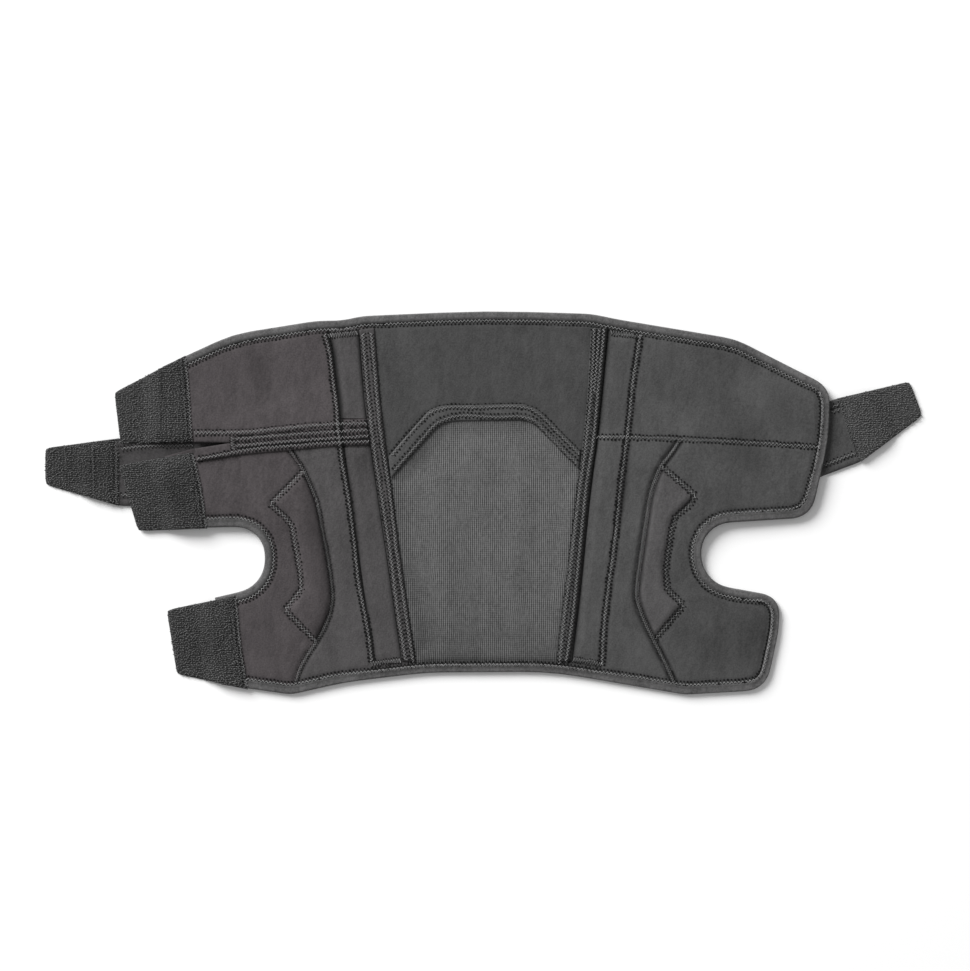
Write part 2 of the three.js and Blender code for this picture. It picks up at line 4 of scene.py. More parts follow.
import bpy
import numpy as np
from mathutils import Vector
from mathutils.geometry import delaunay_2d_cdt
from mathutils.kdtree import KDTree
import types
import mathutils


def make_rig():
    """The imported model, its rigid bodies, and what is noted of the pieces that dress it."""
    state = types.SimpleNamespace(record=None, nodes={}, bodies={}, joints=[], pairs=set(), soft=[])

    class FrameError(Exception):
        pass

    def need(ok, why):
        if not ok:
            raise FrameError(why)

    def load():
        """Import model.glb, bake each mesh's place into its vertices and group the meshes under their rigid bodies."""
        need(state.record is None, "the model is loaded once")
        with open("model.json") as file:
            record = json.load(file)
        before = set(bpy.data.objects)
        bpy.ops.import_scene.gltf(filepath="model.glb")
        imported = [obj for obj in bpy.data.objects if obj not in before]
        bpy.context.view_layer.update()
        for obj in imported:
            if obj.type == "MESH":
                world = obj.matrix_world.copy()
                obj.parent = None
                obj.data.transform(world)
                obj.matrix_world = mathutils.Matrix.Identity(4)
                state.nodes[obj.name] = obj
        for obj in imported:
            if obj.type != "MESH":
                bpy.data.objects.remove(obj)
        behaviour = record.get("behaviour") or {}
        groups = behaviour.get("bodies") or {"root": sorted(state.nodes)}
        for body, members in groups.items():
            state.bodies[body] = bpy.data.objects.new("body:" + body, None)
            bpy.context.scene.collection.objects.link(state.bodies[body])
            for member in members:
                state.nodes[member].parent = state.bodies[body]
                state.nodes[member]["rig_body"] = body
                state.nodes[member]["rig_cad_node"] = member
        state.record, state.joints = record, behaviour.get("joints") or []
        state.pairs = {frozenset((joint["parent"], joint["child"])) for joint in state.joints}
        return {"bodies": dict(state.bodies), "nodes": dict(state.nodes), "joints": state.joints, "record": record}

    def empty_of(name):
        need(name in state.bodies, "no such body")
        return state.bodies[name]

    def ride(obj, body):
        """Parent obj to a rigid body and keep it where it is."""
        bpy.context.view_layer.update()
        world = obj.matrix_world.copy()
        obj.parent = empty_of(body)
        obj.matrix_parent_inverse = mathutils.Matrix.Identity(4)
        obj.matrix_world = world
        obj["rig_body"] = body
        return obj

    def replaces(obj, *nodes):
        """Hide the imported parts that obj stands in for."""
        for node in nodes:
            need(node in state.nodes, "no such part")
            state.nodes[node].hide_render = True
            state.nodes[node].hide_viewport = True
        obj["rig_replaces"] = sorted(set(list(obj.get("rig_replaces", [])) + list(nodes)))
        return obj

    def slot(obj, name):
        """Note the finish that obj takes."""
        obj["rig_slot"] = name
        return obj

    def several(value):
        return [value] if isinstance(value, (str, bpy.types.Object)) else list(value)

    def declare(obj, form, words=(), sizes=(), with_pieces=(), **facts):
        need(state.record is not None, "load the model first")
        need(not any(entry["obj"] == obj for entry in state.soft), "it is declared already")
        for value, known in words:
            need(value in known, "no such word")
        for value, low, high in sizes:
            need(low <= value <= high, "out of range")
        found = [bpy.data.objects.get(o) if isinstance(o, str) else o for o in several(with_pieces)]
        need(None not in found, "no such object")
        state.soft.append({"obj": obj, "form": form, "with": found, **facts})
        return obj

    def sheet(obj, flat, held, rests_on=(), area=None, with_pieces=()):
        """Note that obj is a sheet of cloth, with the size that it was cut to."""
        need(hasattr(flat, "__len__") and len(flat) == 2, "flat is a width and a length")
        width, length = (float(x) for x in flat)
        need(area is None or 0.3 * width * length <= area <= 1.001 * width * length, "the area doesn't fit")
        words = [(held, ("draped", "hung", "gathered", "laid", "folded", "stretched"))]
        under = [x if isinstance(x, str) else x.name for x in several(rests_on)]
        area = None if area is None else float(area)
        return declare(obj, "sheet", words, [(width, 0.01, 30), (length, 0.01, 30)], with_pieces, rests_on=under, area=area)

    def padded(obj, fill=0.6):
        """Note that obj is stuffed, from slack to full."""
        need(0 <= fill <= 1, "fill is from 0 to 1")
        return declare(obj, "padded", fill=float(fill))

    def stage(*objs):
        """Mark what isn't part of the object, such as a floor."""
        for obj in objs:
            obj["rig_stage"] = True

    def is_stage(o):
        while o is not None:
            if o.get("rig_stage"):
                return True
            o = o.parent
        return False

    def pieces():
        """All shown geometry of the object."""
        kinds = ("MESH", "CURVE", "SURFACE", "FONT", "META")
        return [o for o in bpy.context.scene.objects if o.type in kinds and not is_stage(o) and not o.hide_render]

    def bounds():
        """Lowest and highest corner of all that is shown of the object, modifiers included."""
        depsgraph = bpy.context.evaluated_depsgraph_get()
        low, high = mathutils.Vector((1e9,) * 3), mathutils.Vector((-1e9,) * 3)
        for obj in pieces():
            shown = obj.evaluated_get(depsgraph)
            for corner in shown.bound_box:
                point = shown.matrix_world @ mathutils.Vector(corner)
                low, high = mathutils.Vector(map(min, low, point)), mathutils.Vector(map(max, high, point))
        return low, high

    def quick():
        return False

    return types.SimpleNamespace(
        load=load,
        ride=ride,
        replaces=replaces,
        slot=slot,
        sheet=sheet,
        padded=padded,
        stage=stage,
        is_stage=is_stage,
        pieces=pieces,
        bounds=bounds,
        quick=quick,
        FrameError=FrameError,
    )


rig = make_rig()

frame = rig.load()
cad_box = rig.bounds()

MM = 0.001

# Camera: straight down on the opened wrap
VIEW_WIDTH = 615.95
VIEW_CENTRE = (1.6, 11.1)
LENS = 100.0
SENSOR = 36.0

# Light: one large lamp from the upper left, in metres and watts, and a white sky
KEY_PLACE = (-5.85, 5.85, 4.35)
KEY_SIZE = 5.4
KEY_POWER = 1496
SKY_STRENGTH = 0.38
FLOOR_REACH = 12

# Thicknesses of the sheets and layers, in millimetres
NEOPRENE = 3.0
KNIT = 1.8
BINDING = 3.3
TAPE = 0.9
HOOK_SHEET = 1.3
STRAP = 2.2
LAYER_GAP = 0.3
ON_PANEL = NEOPRENE + LAYER_GAP
LAYER_SEAT = 0.25
TAB_CLEARANCE = 0.6
TAB_REST = 0.3
TAB_DROP = 13.0
BINDING_FOLDS = 1.8

# Soft edges: radius in millimetres, and the share of the thickness left at the edge
ROUNDING = {
    "panel": (0.9, 0.9),
    "binding": (0.6, 0.6),
    "tape": (1.4, 0.2),
    "channel": (6.0, 0.05),
    "pad": (5.0, 0.05),
    "strap": (1.4, 0.4),
    "tab": (1.6, 0.3),
}
# Painted shade along edges, rows and folds: how dark, and how many millimetres it reaches
SHADES = {
    "panel": (0.16, 0.7),
    "knit": (0.1, 9.0),
    "binding": (0.42, 1.0),
    "tape": (0.2, 0.8),
    "pad": (0.25, 1.0),
    "hem": (0.4, 0.7),
    "tab": (0.15, 0.7),
    "broad_fold": (0.32, 7.0),
}
FOLD_SHADE = 0.95
BINDING_SHADE_AT = 1.5
BINDING_FOOT_SHADE = 0.08
# The knit darkens slowly downwards from its top, and once more towards its foot
KNIT_TOP = 60.0
KNIT_FALL = 0.0013
KNIT_FOOT_SHADE = 0.11

# Relief of the cloth, in millimetres
CHANNEL_PILLOW = 1.3
CHANNEL_RAMP = 12.0
PAD_PILLOW = 1.9
RIPPLE = 0.16
RIPPLE_EDGE = 9.0
KNIT_RISE = (4.0, 15.0)
# Heights or depths with how far they reach
SLIT_SINK = (1.4, 4.0)
HEM_GROOVE = (0.35, 0.8)
STRAP_SWELL = (0.8, 3.2)
TAB_PRESS = (0.6, 4.0)
STRAP_TAB_PRESS = (LAYER_GAP, 4.0)
TAB_THIN = (0.75, 3.0)
# Where the hem and the swell of a strap lie, and how much of its lift a tab loses as it falls
STRAP_HEM = 5.0
STRAP_SWELL_Y = 36.0
TAB_SETTLE = 0.18
# Share of the sewing's pull that reaches the layers sewn on
TAPE_PULL = 0.6
PAD_PULL = 0.5
# How a rolled edge falls from its rim to its seam: share of its width, share of its height
ROLL_SHARES = [0, 0.03, 0.07, 0.13, 0.7, 0.87, 1]
ROLL_HEIGHTS = [0.5, 0.78, 0.93, 1, 1, 0.94, 0.72]
# The hooks' spacing, height and filament radius
HOOK_SPACING = 1.2
HOOK_HEIGHT = 0.58
HOOK_RADIUS = 0.18

# The straps that the wings lie over: root, direction and the way they run
STRAP_WIDTH = 43.0
STRAP_END = 153.5
LIFT_RAMP = 40.0
STRAPS = {
    "left": {"root": (-93.9, 19.6), "turn": 0.0, "way": -1},
    "right": {"root": (104.7, -2.0), "turn": math.radians(20.65), "way": 1},
}
# The lines of the wing ends under the hook tabs
WING_ENDS = {
    "upper_hook_tab": ((-203.5, 39.0), (-204.5, 86.0)),
    "middle_hook_tab": ((-191.5, -16.2), (-201.6, 29.8)),
    "lower_hook_tab": ((-165.4, -114.3), (-171.8, -61.9)),
}

# The two lips of the slit between the left wings, which sink towards the strap below
SLIT_LIPS = [[(-208, 38.6), (-160, 36)], [(-206, 28.8), (-160, 34.5)]]

# Sewn rows on the skin side, as lines in millimetres
CHANNEL_ROWS = {
    "left": [(-100, 107.3), (-97.5, 97.2), (-94.9, 78.1), (-92.7, 62.2), (-91.8, 49.5), (-89.2, 27.3),
             (-84.8, 1.9), (-81.6, -23.5), (-78.4, -52.1), (-74.6, -71.1), (-71.4, -90.2), (-70.2, -100.3)],
    "right": [(100, 106.7), (98.1, 94), (95.6, 78.1), (93, 52.7), (87.9, 14.6), (84.1, -23.5), (79.7, -55.2),
              (76.5, -87), (75.9, -102.9)],
}
TAPE_ROWS = [
    [(-75.9, 107.3), (-74.6, 90.8), (-72.1, 65.4), (-68.9, 36.8), (-62.5, -4.4), (-58.7, -29.8),
     (-52.4, -77.5), (-48.6, -99.7)],
    [(-70.7, 108), (-67.9, 78.1), (-64.1, 40), (-59, 8.3), (-54.6, -29.8), (-49.5, -64.8), (-44.6, -96.5),
     (-43.8, -101)],
    [(70.9, 111.1), (70.4, 90.8), (69, 71.8), (67.4, 52.7), (64.9, 30.5), (60.8, 1.9), (58, -23.5),
     (55.2, -48.9), (52.6, -67.9), (49.6, -96.5), (49, -102.2)],
    [(77.2, 111.1), (75.2, 90.8), (73.3, 71.8), (70.4, 40), (66.4, 14.6), (64.2, -4.4), (60.4, -42.5),
     (56.6, -77.5), (53, -101)],
]
TAPE_TOP_ROW = [(74, 109.9), (72.7, 90.8), (70.8, 70.5)]
SLIT_ROWS = [
    [(-182.6, 44.5), (-160.3, 44.5), (-147.6, 45.1), (-122.2, 47.6), (-96.8, 49.8), (-73.4, 50.5)],
    [(-156.5, 40.6), (-115.9, 43.7), (-72.8, 46.4)],
    [(-156.5, 36.2), (-115.9, 39.6), (-72.4, 42.5)],
    [(-180.6, 28), (-173, 29.2), (-160.3, 31.6), (-147.6, 34), (-122.2, 36.2), (-90.5, 38.5), (-72, 39)],
]
CROSS_ROW = [(72.5, 41.9), (100, 41.5), (138.1, 40), (176.2, 37.9), (213.6, 35.4)]
CRESCENT_SEAMS = {
    "left": [(-122.2, 33.7), (-114, 21.6), (-108.3, 9.4), (-104.9, 0), (-102, -15.5), (-98.1, -36.2),
             (-96, -50.5), (-95.3, -59.7), (-96.8, -69.5), (-100.6, -79), (-105.7, -88.3), (-111.2, -96.5),
             (-116.4, -107), (-118.8, -114.6)],
    "right": [(124.6, 39.2), (119.7, 31.8), (113.3, 23.5), (109.2, 14), (106.4, 5.1), (104, -9),
              (101.9, -23.5), (99.9, -37.5), (98.4, -48.9), (97.8, -59.7), (100, -67.9), (104, -77.5),
              (108.9, -87.6), (113.8, -97), (118.4, -106.7), (121.5, -113.6)],
}
CRESCENT_EDGES = {
    "left": [(-113.6, 20), (-134.4, -0.6), (-125.4, -8.3), (-121, -14), (-119.4, -22.3), (-117.4, -34.8),
             (-115.6, -45.9), (-114.9, -54.6), (-125.2, -67.9), (-105.9, -87.6)],
    "right": [(114, 22.9), (135, 4.8), (131.1, -1.3), (122, -9), (119.7, -17.1), (117.6, -32.8),
              (116.3, -44.4), (117.4, -54.9), (127.8, -65), (109.5, -86.6)],
}
TRIM_ROWS = [
    [(-57.5, 30.2), (-52.4, 36.6), (-39.7, 50.9), (-32.7, 57.5), (-27, 59.6), (-1.6, 60.5), (23.8, 60.9),
     (30.8, 59.6), (36.5, 55.9), (49.2, 43.4), (61.5, 31)],
    [(-55.8, 20.8), (-46, 31.9), (-36.5, 42.6), (-30.2, 49.6), (-22.8, 53.4), (11.1, 54.4), (27, 54.4),
     (33.3, 52.1), (39.7, 45.7), (49.2, 36), (59.8, 25.2)],
]
TAB_ROWS = [
    [(-188.5, 91.8), (-186.1, 65.4), (-184.5, 40.5)],
    [(-191.3, 90.4), (-188.9, 65.4), (-187.3, 40.5)],
    [(-183.6, 30.6), (-179.1, 11.4), (-175.2, -14.8)],
    [(-186.4, 30), (-181.9, 11.4), (-178, -14.8)],
    [(-156.5, -60.6), (-154.2, -87), (-149.7, -116.2)],
    [(-159.3, -61.2), (-157, -87), (-152.6, -115.6)],
    [(-232.4, 39), (-232.4, -0.2)],
    [(-247.3, 36.2), (-246.6, 4.6)],
    [(238.6, 28.4), (236.6, 33.7), (229.8, 55), (226.4, 65.6)],
]
STRAP_ROWS = [
    [(-229.6, 34.4), (-220.7, 35.5), (-208, 36.4), (-184, 36.7)],
    [(-229.6, 5), (-222, 5)],
    [(217, 23.9), (236.2, 31.4)],
    [(222, 57.6), (227, 59.5)],
    [(222.2, 61), (226.4, 62.6)],
]
BAR_TACKS = [
    [(-98.1, 106.2), (-79.5, 108)],
    [(-70.8, -102), (-52, -100)],
    [(81.5, 108.4), (101.3, 105.8)],
    [(57.5, -99.4), (75.9, -102.4)],
    [(-158.2, 41.4), (-157.8, 34)],
]

# Soft dents in the cloth with painted shade in them: where, how far they reach along x and y, their lean, how deep and
# how dark
PANEL_DENTS = [
    (143, 78, 5, 24, 0.05, 0.35, 0.16),
    (155, 74, 8, 28, 0.1, 0.5, 0.2),
    (166, 34, 11, 20, 0.15, 0.6, 0.22),
    (153, 4, 12, 9, 0.0, 0.3, 0.16),
    (174, -88, 8, 20, -0.1, 0.4, 0.18),
    (158, -88, 30, 26, 0.0, 0.2, 0.25),
    (192, 62, 18, 22, 0.0, 0.0, 0.15),
    (171, 25, 7, 10, 0.0, 0.1, 0.14),
    (172, 48, 6, 8, 0.0, 0.1, 0.12),
    (152, -78, 5, 15, 0.3, 0.35, 0.1),
    (-141, 86, 7, 15, 0.35, 0.5, 0.2),
    (-152, -100, 7, 14, 0.2, 0.3, 0.1),
    (-28, 84, 12, 15, 0.0, 0.25, 0.06),
    (90, 10, 3.4, 26, -0.13, 0.3, 0.42),
]
# Darker patches on the hook tabs, without depth; the narrow one along the upper tab's wing end is painted shade where
# the tab steps off the wing
TAB_DENTS = [
    (-195, 5, 13, 13, 0.0, 0.0, 0.34),
    (-175, -90, 13, 14, 0.0, 0.0, 0.25),
    (-250, 22, 14, 10, 0.0, 0.0, 0.32),
    (-198, 74, 10, 12, 0.0, 0.0, 0.1),
    (262, 52, 8, 8, 0.0, 0.0, 0.08),
    (-203.8, 62, 1.2, 24, -0.02, 0.0, 0.22),
]


# Camera and lights

def make_camera():
    data = bpy.data.cameras.new("camera")
    data.sensor_fit = "HORIZONTAL"
    data.sensor_width = SENSOR
    data.lens = LENS
    camera = bpy.data.objects.new("camera", data)
    distance = VIEW_WIDTH * LENS / SENSOR
    camera.location = (VIEW_CENTRE[0] * MM, VIEW_CENTRE[1] * MM, (distance + NEOPRENE) * MM)
    bpy.context.scene.collection.objects.link(camera)
    bpy.context.scene.camera = camera


def make_light(name, place, size, power):
    data = bpy.data.lights.new(name, "AREA")
    data.shape = "DISK"
    data.size = size
    data.energy = power
    lamp = bpy.data.objects.new(name, data)
    lamp.location = place
    lamp.rotation_euler = (-Vector(place)).to_track_quat("-Z", "Y").to_euler()
    bpy.context.scene.collection.objects.link(lamp)


make_camera()
make_light("key_light", KEY_PLACE, KEY_SIZE, KEY_POWER)
world = bpy.data.worlds.new("studio")
bpy.context.scene.world = world
world.use_nodes = True
sky = world.node_tree.nodes["Background"]
sky.inputs["Color"].default_value = (1, 1, 1, 1)
sky.inputs["Strength"].default_value = SKY_STRENGTH
bpy.context.scene.view_settings.view_transform = "Standard"


# Shader expressions

class Term:
    """A value socket in a material, with arithmetic that adds Math nodes."""

    def __init__(self, finish, socket):
        self.finish = finish
        self.socket = socket

    def _math(self, operation, *terms):
        node = self.finish.node("ShaderNodeMath", {"operation": operation}, dict(enumerate(terms)))
        return Term(self.finish, node.outputs[0])

    def __add__(self, other):
        return self._math("ADD", self, other)

    __radd__ = __add__

    def __sub__(self, other):
        return self._math("SUBTRACT", self, other)

    def __rsub__(self, other):
        return self._math("SUBTRACT", other, self)

    def __mul__(self, other):
        return self._math("MULTIPLY", self, other)

    __rmul__ = __mul__

    def between(self, low, high):
        node = self.finish.node("ShaderNodeMapRange", {"interpolation_type": "SMOOTHSTEP"},
                                {"Value": self, "From Min": low, "From Max": high})
        return Term(self.finish, node.outputs[0])


class Finish:
    """A material that is being made, with its one method for adding nodes."""

    def __init__(self, name):
        self.material = bpy.data.materials.new(name)
        self.material.use_nodes = True
        self.tree = self.material.node_tree
        self.shader = self.tree.nodes["Principled BSDF"]
        self.place = self.node("ShaderNodeTexCoord").outputs["Object"]

    def node(self, kind, settings=None, inputs=None):
        made = self.tree.nodes.new(kind)
        for key, value in (settings or {}).items():
            setattr(made, key, value)
        for key, value in (inputs or {}).items():
            socket = made.inputs[key]
            value = value.socket if isinstance(value, Term) else value
            if isinstance(value, bpy.types.NodeSocket):
                self.tree.links.new(value, socket)
            else:
                socket.default_value = value
        return made

    def noise(self, size_mm, detail=2.0, rough=0.5, along=(1, 1, 1), turn=0.0):
        """Noise from 0 to 1 whose lumps are about size_mm across; along stretches it and turn leans it."""
        leaned = self.node("ShaderNodeMapping", {}, {"Vector": self.place, "Rotation": (0.0, 0.0, turn)})
        turned = self.node("ShaderNodeMapping", {}, {"Vector": leaned.outputs[0], "Scale": along})
        made = self.node("ShaderNodeTexNoise", {}, {
            "Vector": turned.outputs[0], "Scale": 1000.0 / size_mm, "Detail": detail, "Roughness": rough})
        return Term(self, made.outputs[0])

    def ribs(self, pitch_mm, direction, wander, wander_mm):
        """Ribs across one direction, from 0 to 1."""
        made = self.node("ShaderNodeTexWave", {"wave_type": "BANDS", "bands_direction": direction}, {
            "Vector": self.place, "Scale": 1000.0 / pitch_mm * math.pi * 2 / 20, "Distortion": wander,
            "Detail": 2.0, "Detail Scale": pitch_mm / wander_mm})
        return Term(self, made.outputs[1])

    def shade(self, dark, light, factor):
        """A colour between two, by a value from 0 to 1."""
        made = self.node("ShaderNodeMix", {"data_type": "RGBA"}, {0: factor, 6: (*dark, 1), 7: (*light, 1)})
        return made.outputs[2]

    def with_painted_shade(self, colour):
        """The colour, darkened toward near-black by the painted shade stored on the mesh's points."""
        crease = self.node("ShaderNodeAttribute", {"attribute_name": "crease"}).outputs["Fac"]
        made = self.node("ShaderNodeMix", {"data_type": "RGBA"}, {
            0: crease, 6: colour, 7: (*PAINTED_SHADE_COLOUR, 1)})
        return made.outputs[2]

    def surface(self, colour, rough, bump=None, height=0.0003, sheen=0.0):
        inputs = self.shader.inputs
        self.tree.links.new(colour, inputs["Base Color"])
        if isinstance(rough, Term):
            self.tree.links.new(rough.socket, inputs["Roughness"])
        else:
            inputs["Roughness"].default_value = rough
        inputs["Specular IOR Level"].default_value = CLOTH_SPECULAR
        inputs["Sheen Weight"].default_value = sheen
        inputs["Sheen Roughness"].default_value = SHEEN_ROUGHNESS
        if bump is not None:
            made = self.node("ShaderNodeBump", {}, {"Height": bump, "Distance": height, "Strength": 1.0})
            self.tree.links.new(made.outputs[0], inputs["Normal"])
        return self.material


# How much light falls on flat cloth here, so that a display level can be asked for
LIGHT_LEVEL = 1.42
# The near-black that painted shade in creases, folds, grooves, dents and along edges darkens colour towards
PAINTED_SHADE_COLOUR = (0.003, 0.003, 0.003)
CLOTH_SPECULAR = 0.12
SHEEN_ROUGHNESS = 0.6
# How far the knit's and the hook ground's tones lie from their middle, in display levels
WEAVE_SPREAD = 37
GROUND_SPREAD = 32


def grey(level, tint=(1, 1, 1)):
    """The base colour that shows as a display level of 0 to 255 under this scene's light."""
    value = (max(level, 4) / 255 + 0.055) / 1.055
    return tuple(value ** 2.4 * t / LIGHT_LEVEL for t in tint)


def jersey(name, level, tint=(1, 1, 1), spread=20):
    """Neoprene faced with fine jersey: faint blotches, a fine stitch texture, and painted shade from the mesh."""
    f = Finish(name)
    blotch = f.noise(30, 2.0, 0.5)
    mottle = f.noise(8, 3.0, 0.6, (1.0, 0.35, 1.0))
    streak = f.noise(2.0, 3.0, 0.65, (1.0, 0.4, 1.0), 0.35)
    nap = f.noise(1.0, 2.0, 0.7)
    tone = (blotch * 0.16 + mottle * 0.2 + streak * 0.24 + nap * 0.4).between(0.26, 0.74)
    cloth = f.shade(grey(level - spread, tint), grey(level + spread, tint), tone)
    colour = f.with_painted_shade(cloth)
    return f.surface(colour, 0.86 + 0.1 * nap, nap * 0.6 + streak * 0.4, 0.0002, 0.04)


def fine_knit(name, level):
    """A thin ribbed knit: close upright wales with courses between them."""
    f = Finish(name)
    wales = f.ribs(1.3, "X", 3.4, 4.0)
    courses = f.ribs(1.35, "Y", 4.0, 4.0)
    blotch = f.noise(13, 2.0, 0.5, (1.0, 0.15, 1.0))
    fleck = f.noise(1.2, 2.0, 0.7, (1.0, 0.5, 1.0))
    patch = f.noise(18, 2.0, 0.5).between(0.4, 0.62)
    weave = wales * (0.42 - 0.16 * patch) + courses * (0.02 + 0.1 * patch)
    tone = (weave + blotch * 0.17 + fleck * 0.42).between(0.21, 0.81)
    cloth = f.shade(grey(level - WEAVE_SPREAD), grey(level + WEAVE_SPREAD), tone)
    colour = f.with_painted_shade(cloth)
    return f.surface(colour, 0.9 + 0.08 * fleck, wales * 0.5 + courses * 0.25 + fleck * 0.25, 0.0003, 0.04)


def hook_base(name, level):
    """The woven ground that the hooks stand on."""
    f = Finish(name)
    fleck = f.noise(1.2, 2.0, 0.7, (0.5, 1.4, 1.0))
    weave = f.ribs(1.2, "Y", 4.0, 2.5)
    tone = (fleck * 0.7 + weave * 0.3).between(0.22, 0.78)
    cloth = f.shade(grey(level - GROUND_SPREAD), grey(level + GROUND_SPREAD), tone)
    colour = f.with_painted_shade(cloth)
    return f.surface(colour, 0.9, fleck * 0.6 + weave * 0.4, 0.0005, 0.03)


def plain_yarn(name, level, spread):
    """Thread, hook filament or the needle holes' painted shade, with a little change of tone along it, darkened by any
    painted shade its mesh carries.
    """
    f = Finish(name)
    yarn = f.shade(grey(level - spread), grey(level + spread), f.noise(2.2, 2.0, 0.6))
    return f.surface(f.with_painted_shade(yarn), 0.7, sheen=0.04)


WARM = (1.07, 0.955, 0.99)
FINISHES = {
    "left": jersey("left_jersey", 80, WARM),
    "right": jersey("right_jersey", 83),
    "middle": jersey("middle_jersey", 76),
    "left_inner": jersey("left_inner_jersey", 84, (1.03, 0.985, 1.0)),
    "binding": jersey("binding_jersey", 99, (1.01, 0.995, 1.0), 34),
    "left_strap": jersey("left_strap_jersey", 72, (1.03, 0.98, 1.0)),
    "right_strap": jersey("right_strap_jersey", 81),
    "knit": fine_knit("knit", 105),
    "left_channel": jersey("left_channel_jersey", 88, (1.03, 0.985, 1.0)),
    "right_channel": jersey("right_channel_jersey", 92),
    "right_pad": jersey("right_pad_jersey", 90, (1.02, 0.985, 1.0)),
    "trim": jersey("trim_jersey", 86),
    "hook": hook_base("hook_base", 56),
    "right_hook": hook_base("right_hook_base", 72),
}
HOOK_FILAMENT = plain_yarn("hook_filament", 116, 44)
THREAD = plain_yarn("sewing_thread", 151, 44)
SEAM_THREAD = plain_yarn("seam_thread", 130, 38)
TAB_THREAD = plain_yarn("tab_thread", 102, 34)
TRIM_THREAD = plain_yarn("trim_thread", 138, 40)
# Near-black discs of painted shade that stand for the shade inside needle holes
NEEDLE_HOLE_SHADE = plain_yarn("needle_hole", 10, 6)


# Shapes in plan

def step_up(low, high, value):
    """A smooth step from 0 at the low value to 1 at the high one."""
    t = np.clip((value - low) / (high - low), 0, 1)
    return t * t * (3 - 2 * t)


def near(distance, amount, reach):
    """Falls smoothly from an amount at no distance towards nothing past its reach."""
    return amount * np.exp(-(distance / reach) ** 2)


def strap_place(strap, x, y):
    """How far along a strap a place lies from its root, and how far across it."""
    dx, dy = x - strap["root"][0], y - strap["root"][1]
    along = strap["way"] * (dx * math.cos(strap["turn"]) + dy * math.sin(strap["turn"]))
    across = dy * math.cos(strap["turn"]) - dx * math.sin(strap["turn"])
    return along, across


def lift(x, y):
    """How high the wrap lies over a strap, in millimetres."""
    share = np.zeros_like(x)
    for strap in STRAPS.values():
        along, across = strap_place(strap, x, y)
        outside = np.hypot(np.maximum(0, -along), np.maximum(0, np.abs(across) - STRAP_WIDTH / 2))
        share = np.maximum(share, 1 - step_up(0, LIFT_RAMP, outside))
    return (STRAP + LAYER_GAP) * share


def ripple(x, y):
    """The slow unevenness of a soft sheet lying flat."""
    straight = np.sin(x / 21 + 0.6) * np.sin(y / 27 + 1.1)
    slanting = 0.6 * np.sin((x + y) / 15 + 2.0) * np.sin((x - y) / 18)
    return RIPPLE * (straight + slanting)


def past_end(line, x, y):
    """How far a place lies beyond the wing's end."""
    (ax, ay), (bx, by) = line
    return ((bx - ax) * (y - ay) - (by - ay) * (x - ax)) / math.hypot(bx - ax, by - ay)


def curved(row, step=2.0):
    """A smooth line through a row's points."""
    p = np.array(row, dtype=float)
    if len(p) < 3:
        return row
    t = np.concatenate([[0], np.cumsum(np.hypot(*np.diff(p, axis=0).T))])
    fine = np.linspace(0, t[-1], max(2, int(t[-1] / step)))
    slope = np.gradient(p, t, axis=0)
    k = np.clip(np.searchsorted(t, fine, "right") - 1, 0, len(t) - 2)
    h = (t[k + 1] - t[k])[:, None]
    u = ((fine - t[k])[:, None]) / h
    line = ((2 * u ** 3 - 3 * u ** 2 + 1) * p[k] + (u ** 3 - 2 * u ** 2 + u) * h * slope[k]
            + (-2 * u ** 3 + 3 * u ** 2) * p[k + 1] + (u ** 3 - u ** 2) * h * slope[k + 1])
    return [tuple(q) for q in line]


def smooth(rows):
    """Each row as a smooth line."""
    return [curved(row) for row in rows]


def stepped(line, step):
    """Points at even steps along a line."""
    p = np.array(line, dtype=float)
    t = np.concatenate([[0], np.cumsum(np.hypot(*np.diff(p, axis=0).T))])
    fine = np.linspace(0, t[-1], max(2, int(t[-1] / step) + 1))
    return np.stack([np.interp(fine, t, p[:, k]) for k in (0, 1)], 1)


class Lines:
    """Lines in plan that places can be measured from."""

    def __init__(self, lines, step=0.3):
        points = np.vstack([stepped(line, step) for line in lines])
        self.tree = KDTree(len(points))
        for i, (x, y) in enumerate(points):
            self.tree.insert((x, y, 0), i)
        self.tree.balance()

    def distance(self, x, y):
        return np.array([self.tree.find((a, b, 0))[2] for a, b in zip(x, y)])


def plan_loop(node):
    """A node's outline seen from above, in millimetres, anticlockwise."""
    mesh = frame["nodes"][node].data
    mesh.calc_loop_triangles()
    place = np.empty(len(mesh.vertices) * 3)
    mesh.vertices.foreach_get("co", place)
    corners = np.empty(len(mesh.loop_triangles) * 3, dtype=np.int32)
    mesh.loop_triangles.foreach_get("vertices", corners)
    points, joined = np.unique(np.round(place.reshape(-1, 3) / MM, 2), axis=0, return_inverse=True)
    faces = joined.reshape(-1)[corners].reshape(-1, 3)
    a, b, c = (points[faces[:, k]] for k in range(3))
    normal = np.cross(b - a, c - a)
    up = normal[:, 2] > 0.05 * np.linalg.norm(normal, axis=1)
    edges = {(int(f[k]), int(f[(k + 1) % 3])) for f in faces[up] for k in range(3)}
    follows = {i: j for i, j in edges if (j, i) not in edges}
    loops = []
    while follows:
        at, loop = next(iter(follows)), []
        while at in follows:
            loop.append(at)
            at = follows.pop(at)
        loops.append(points[loop][:, :2])
    return max(loops, key=len)


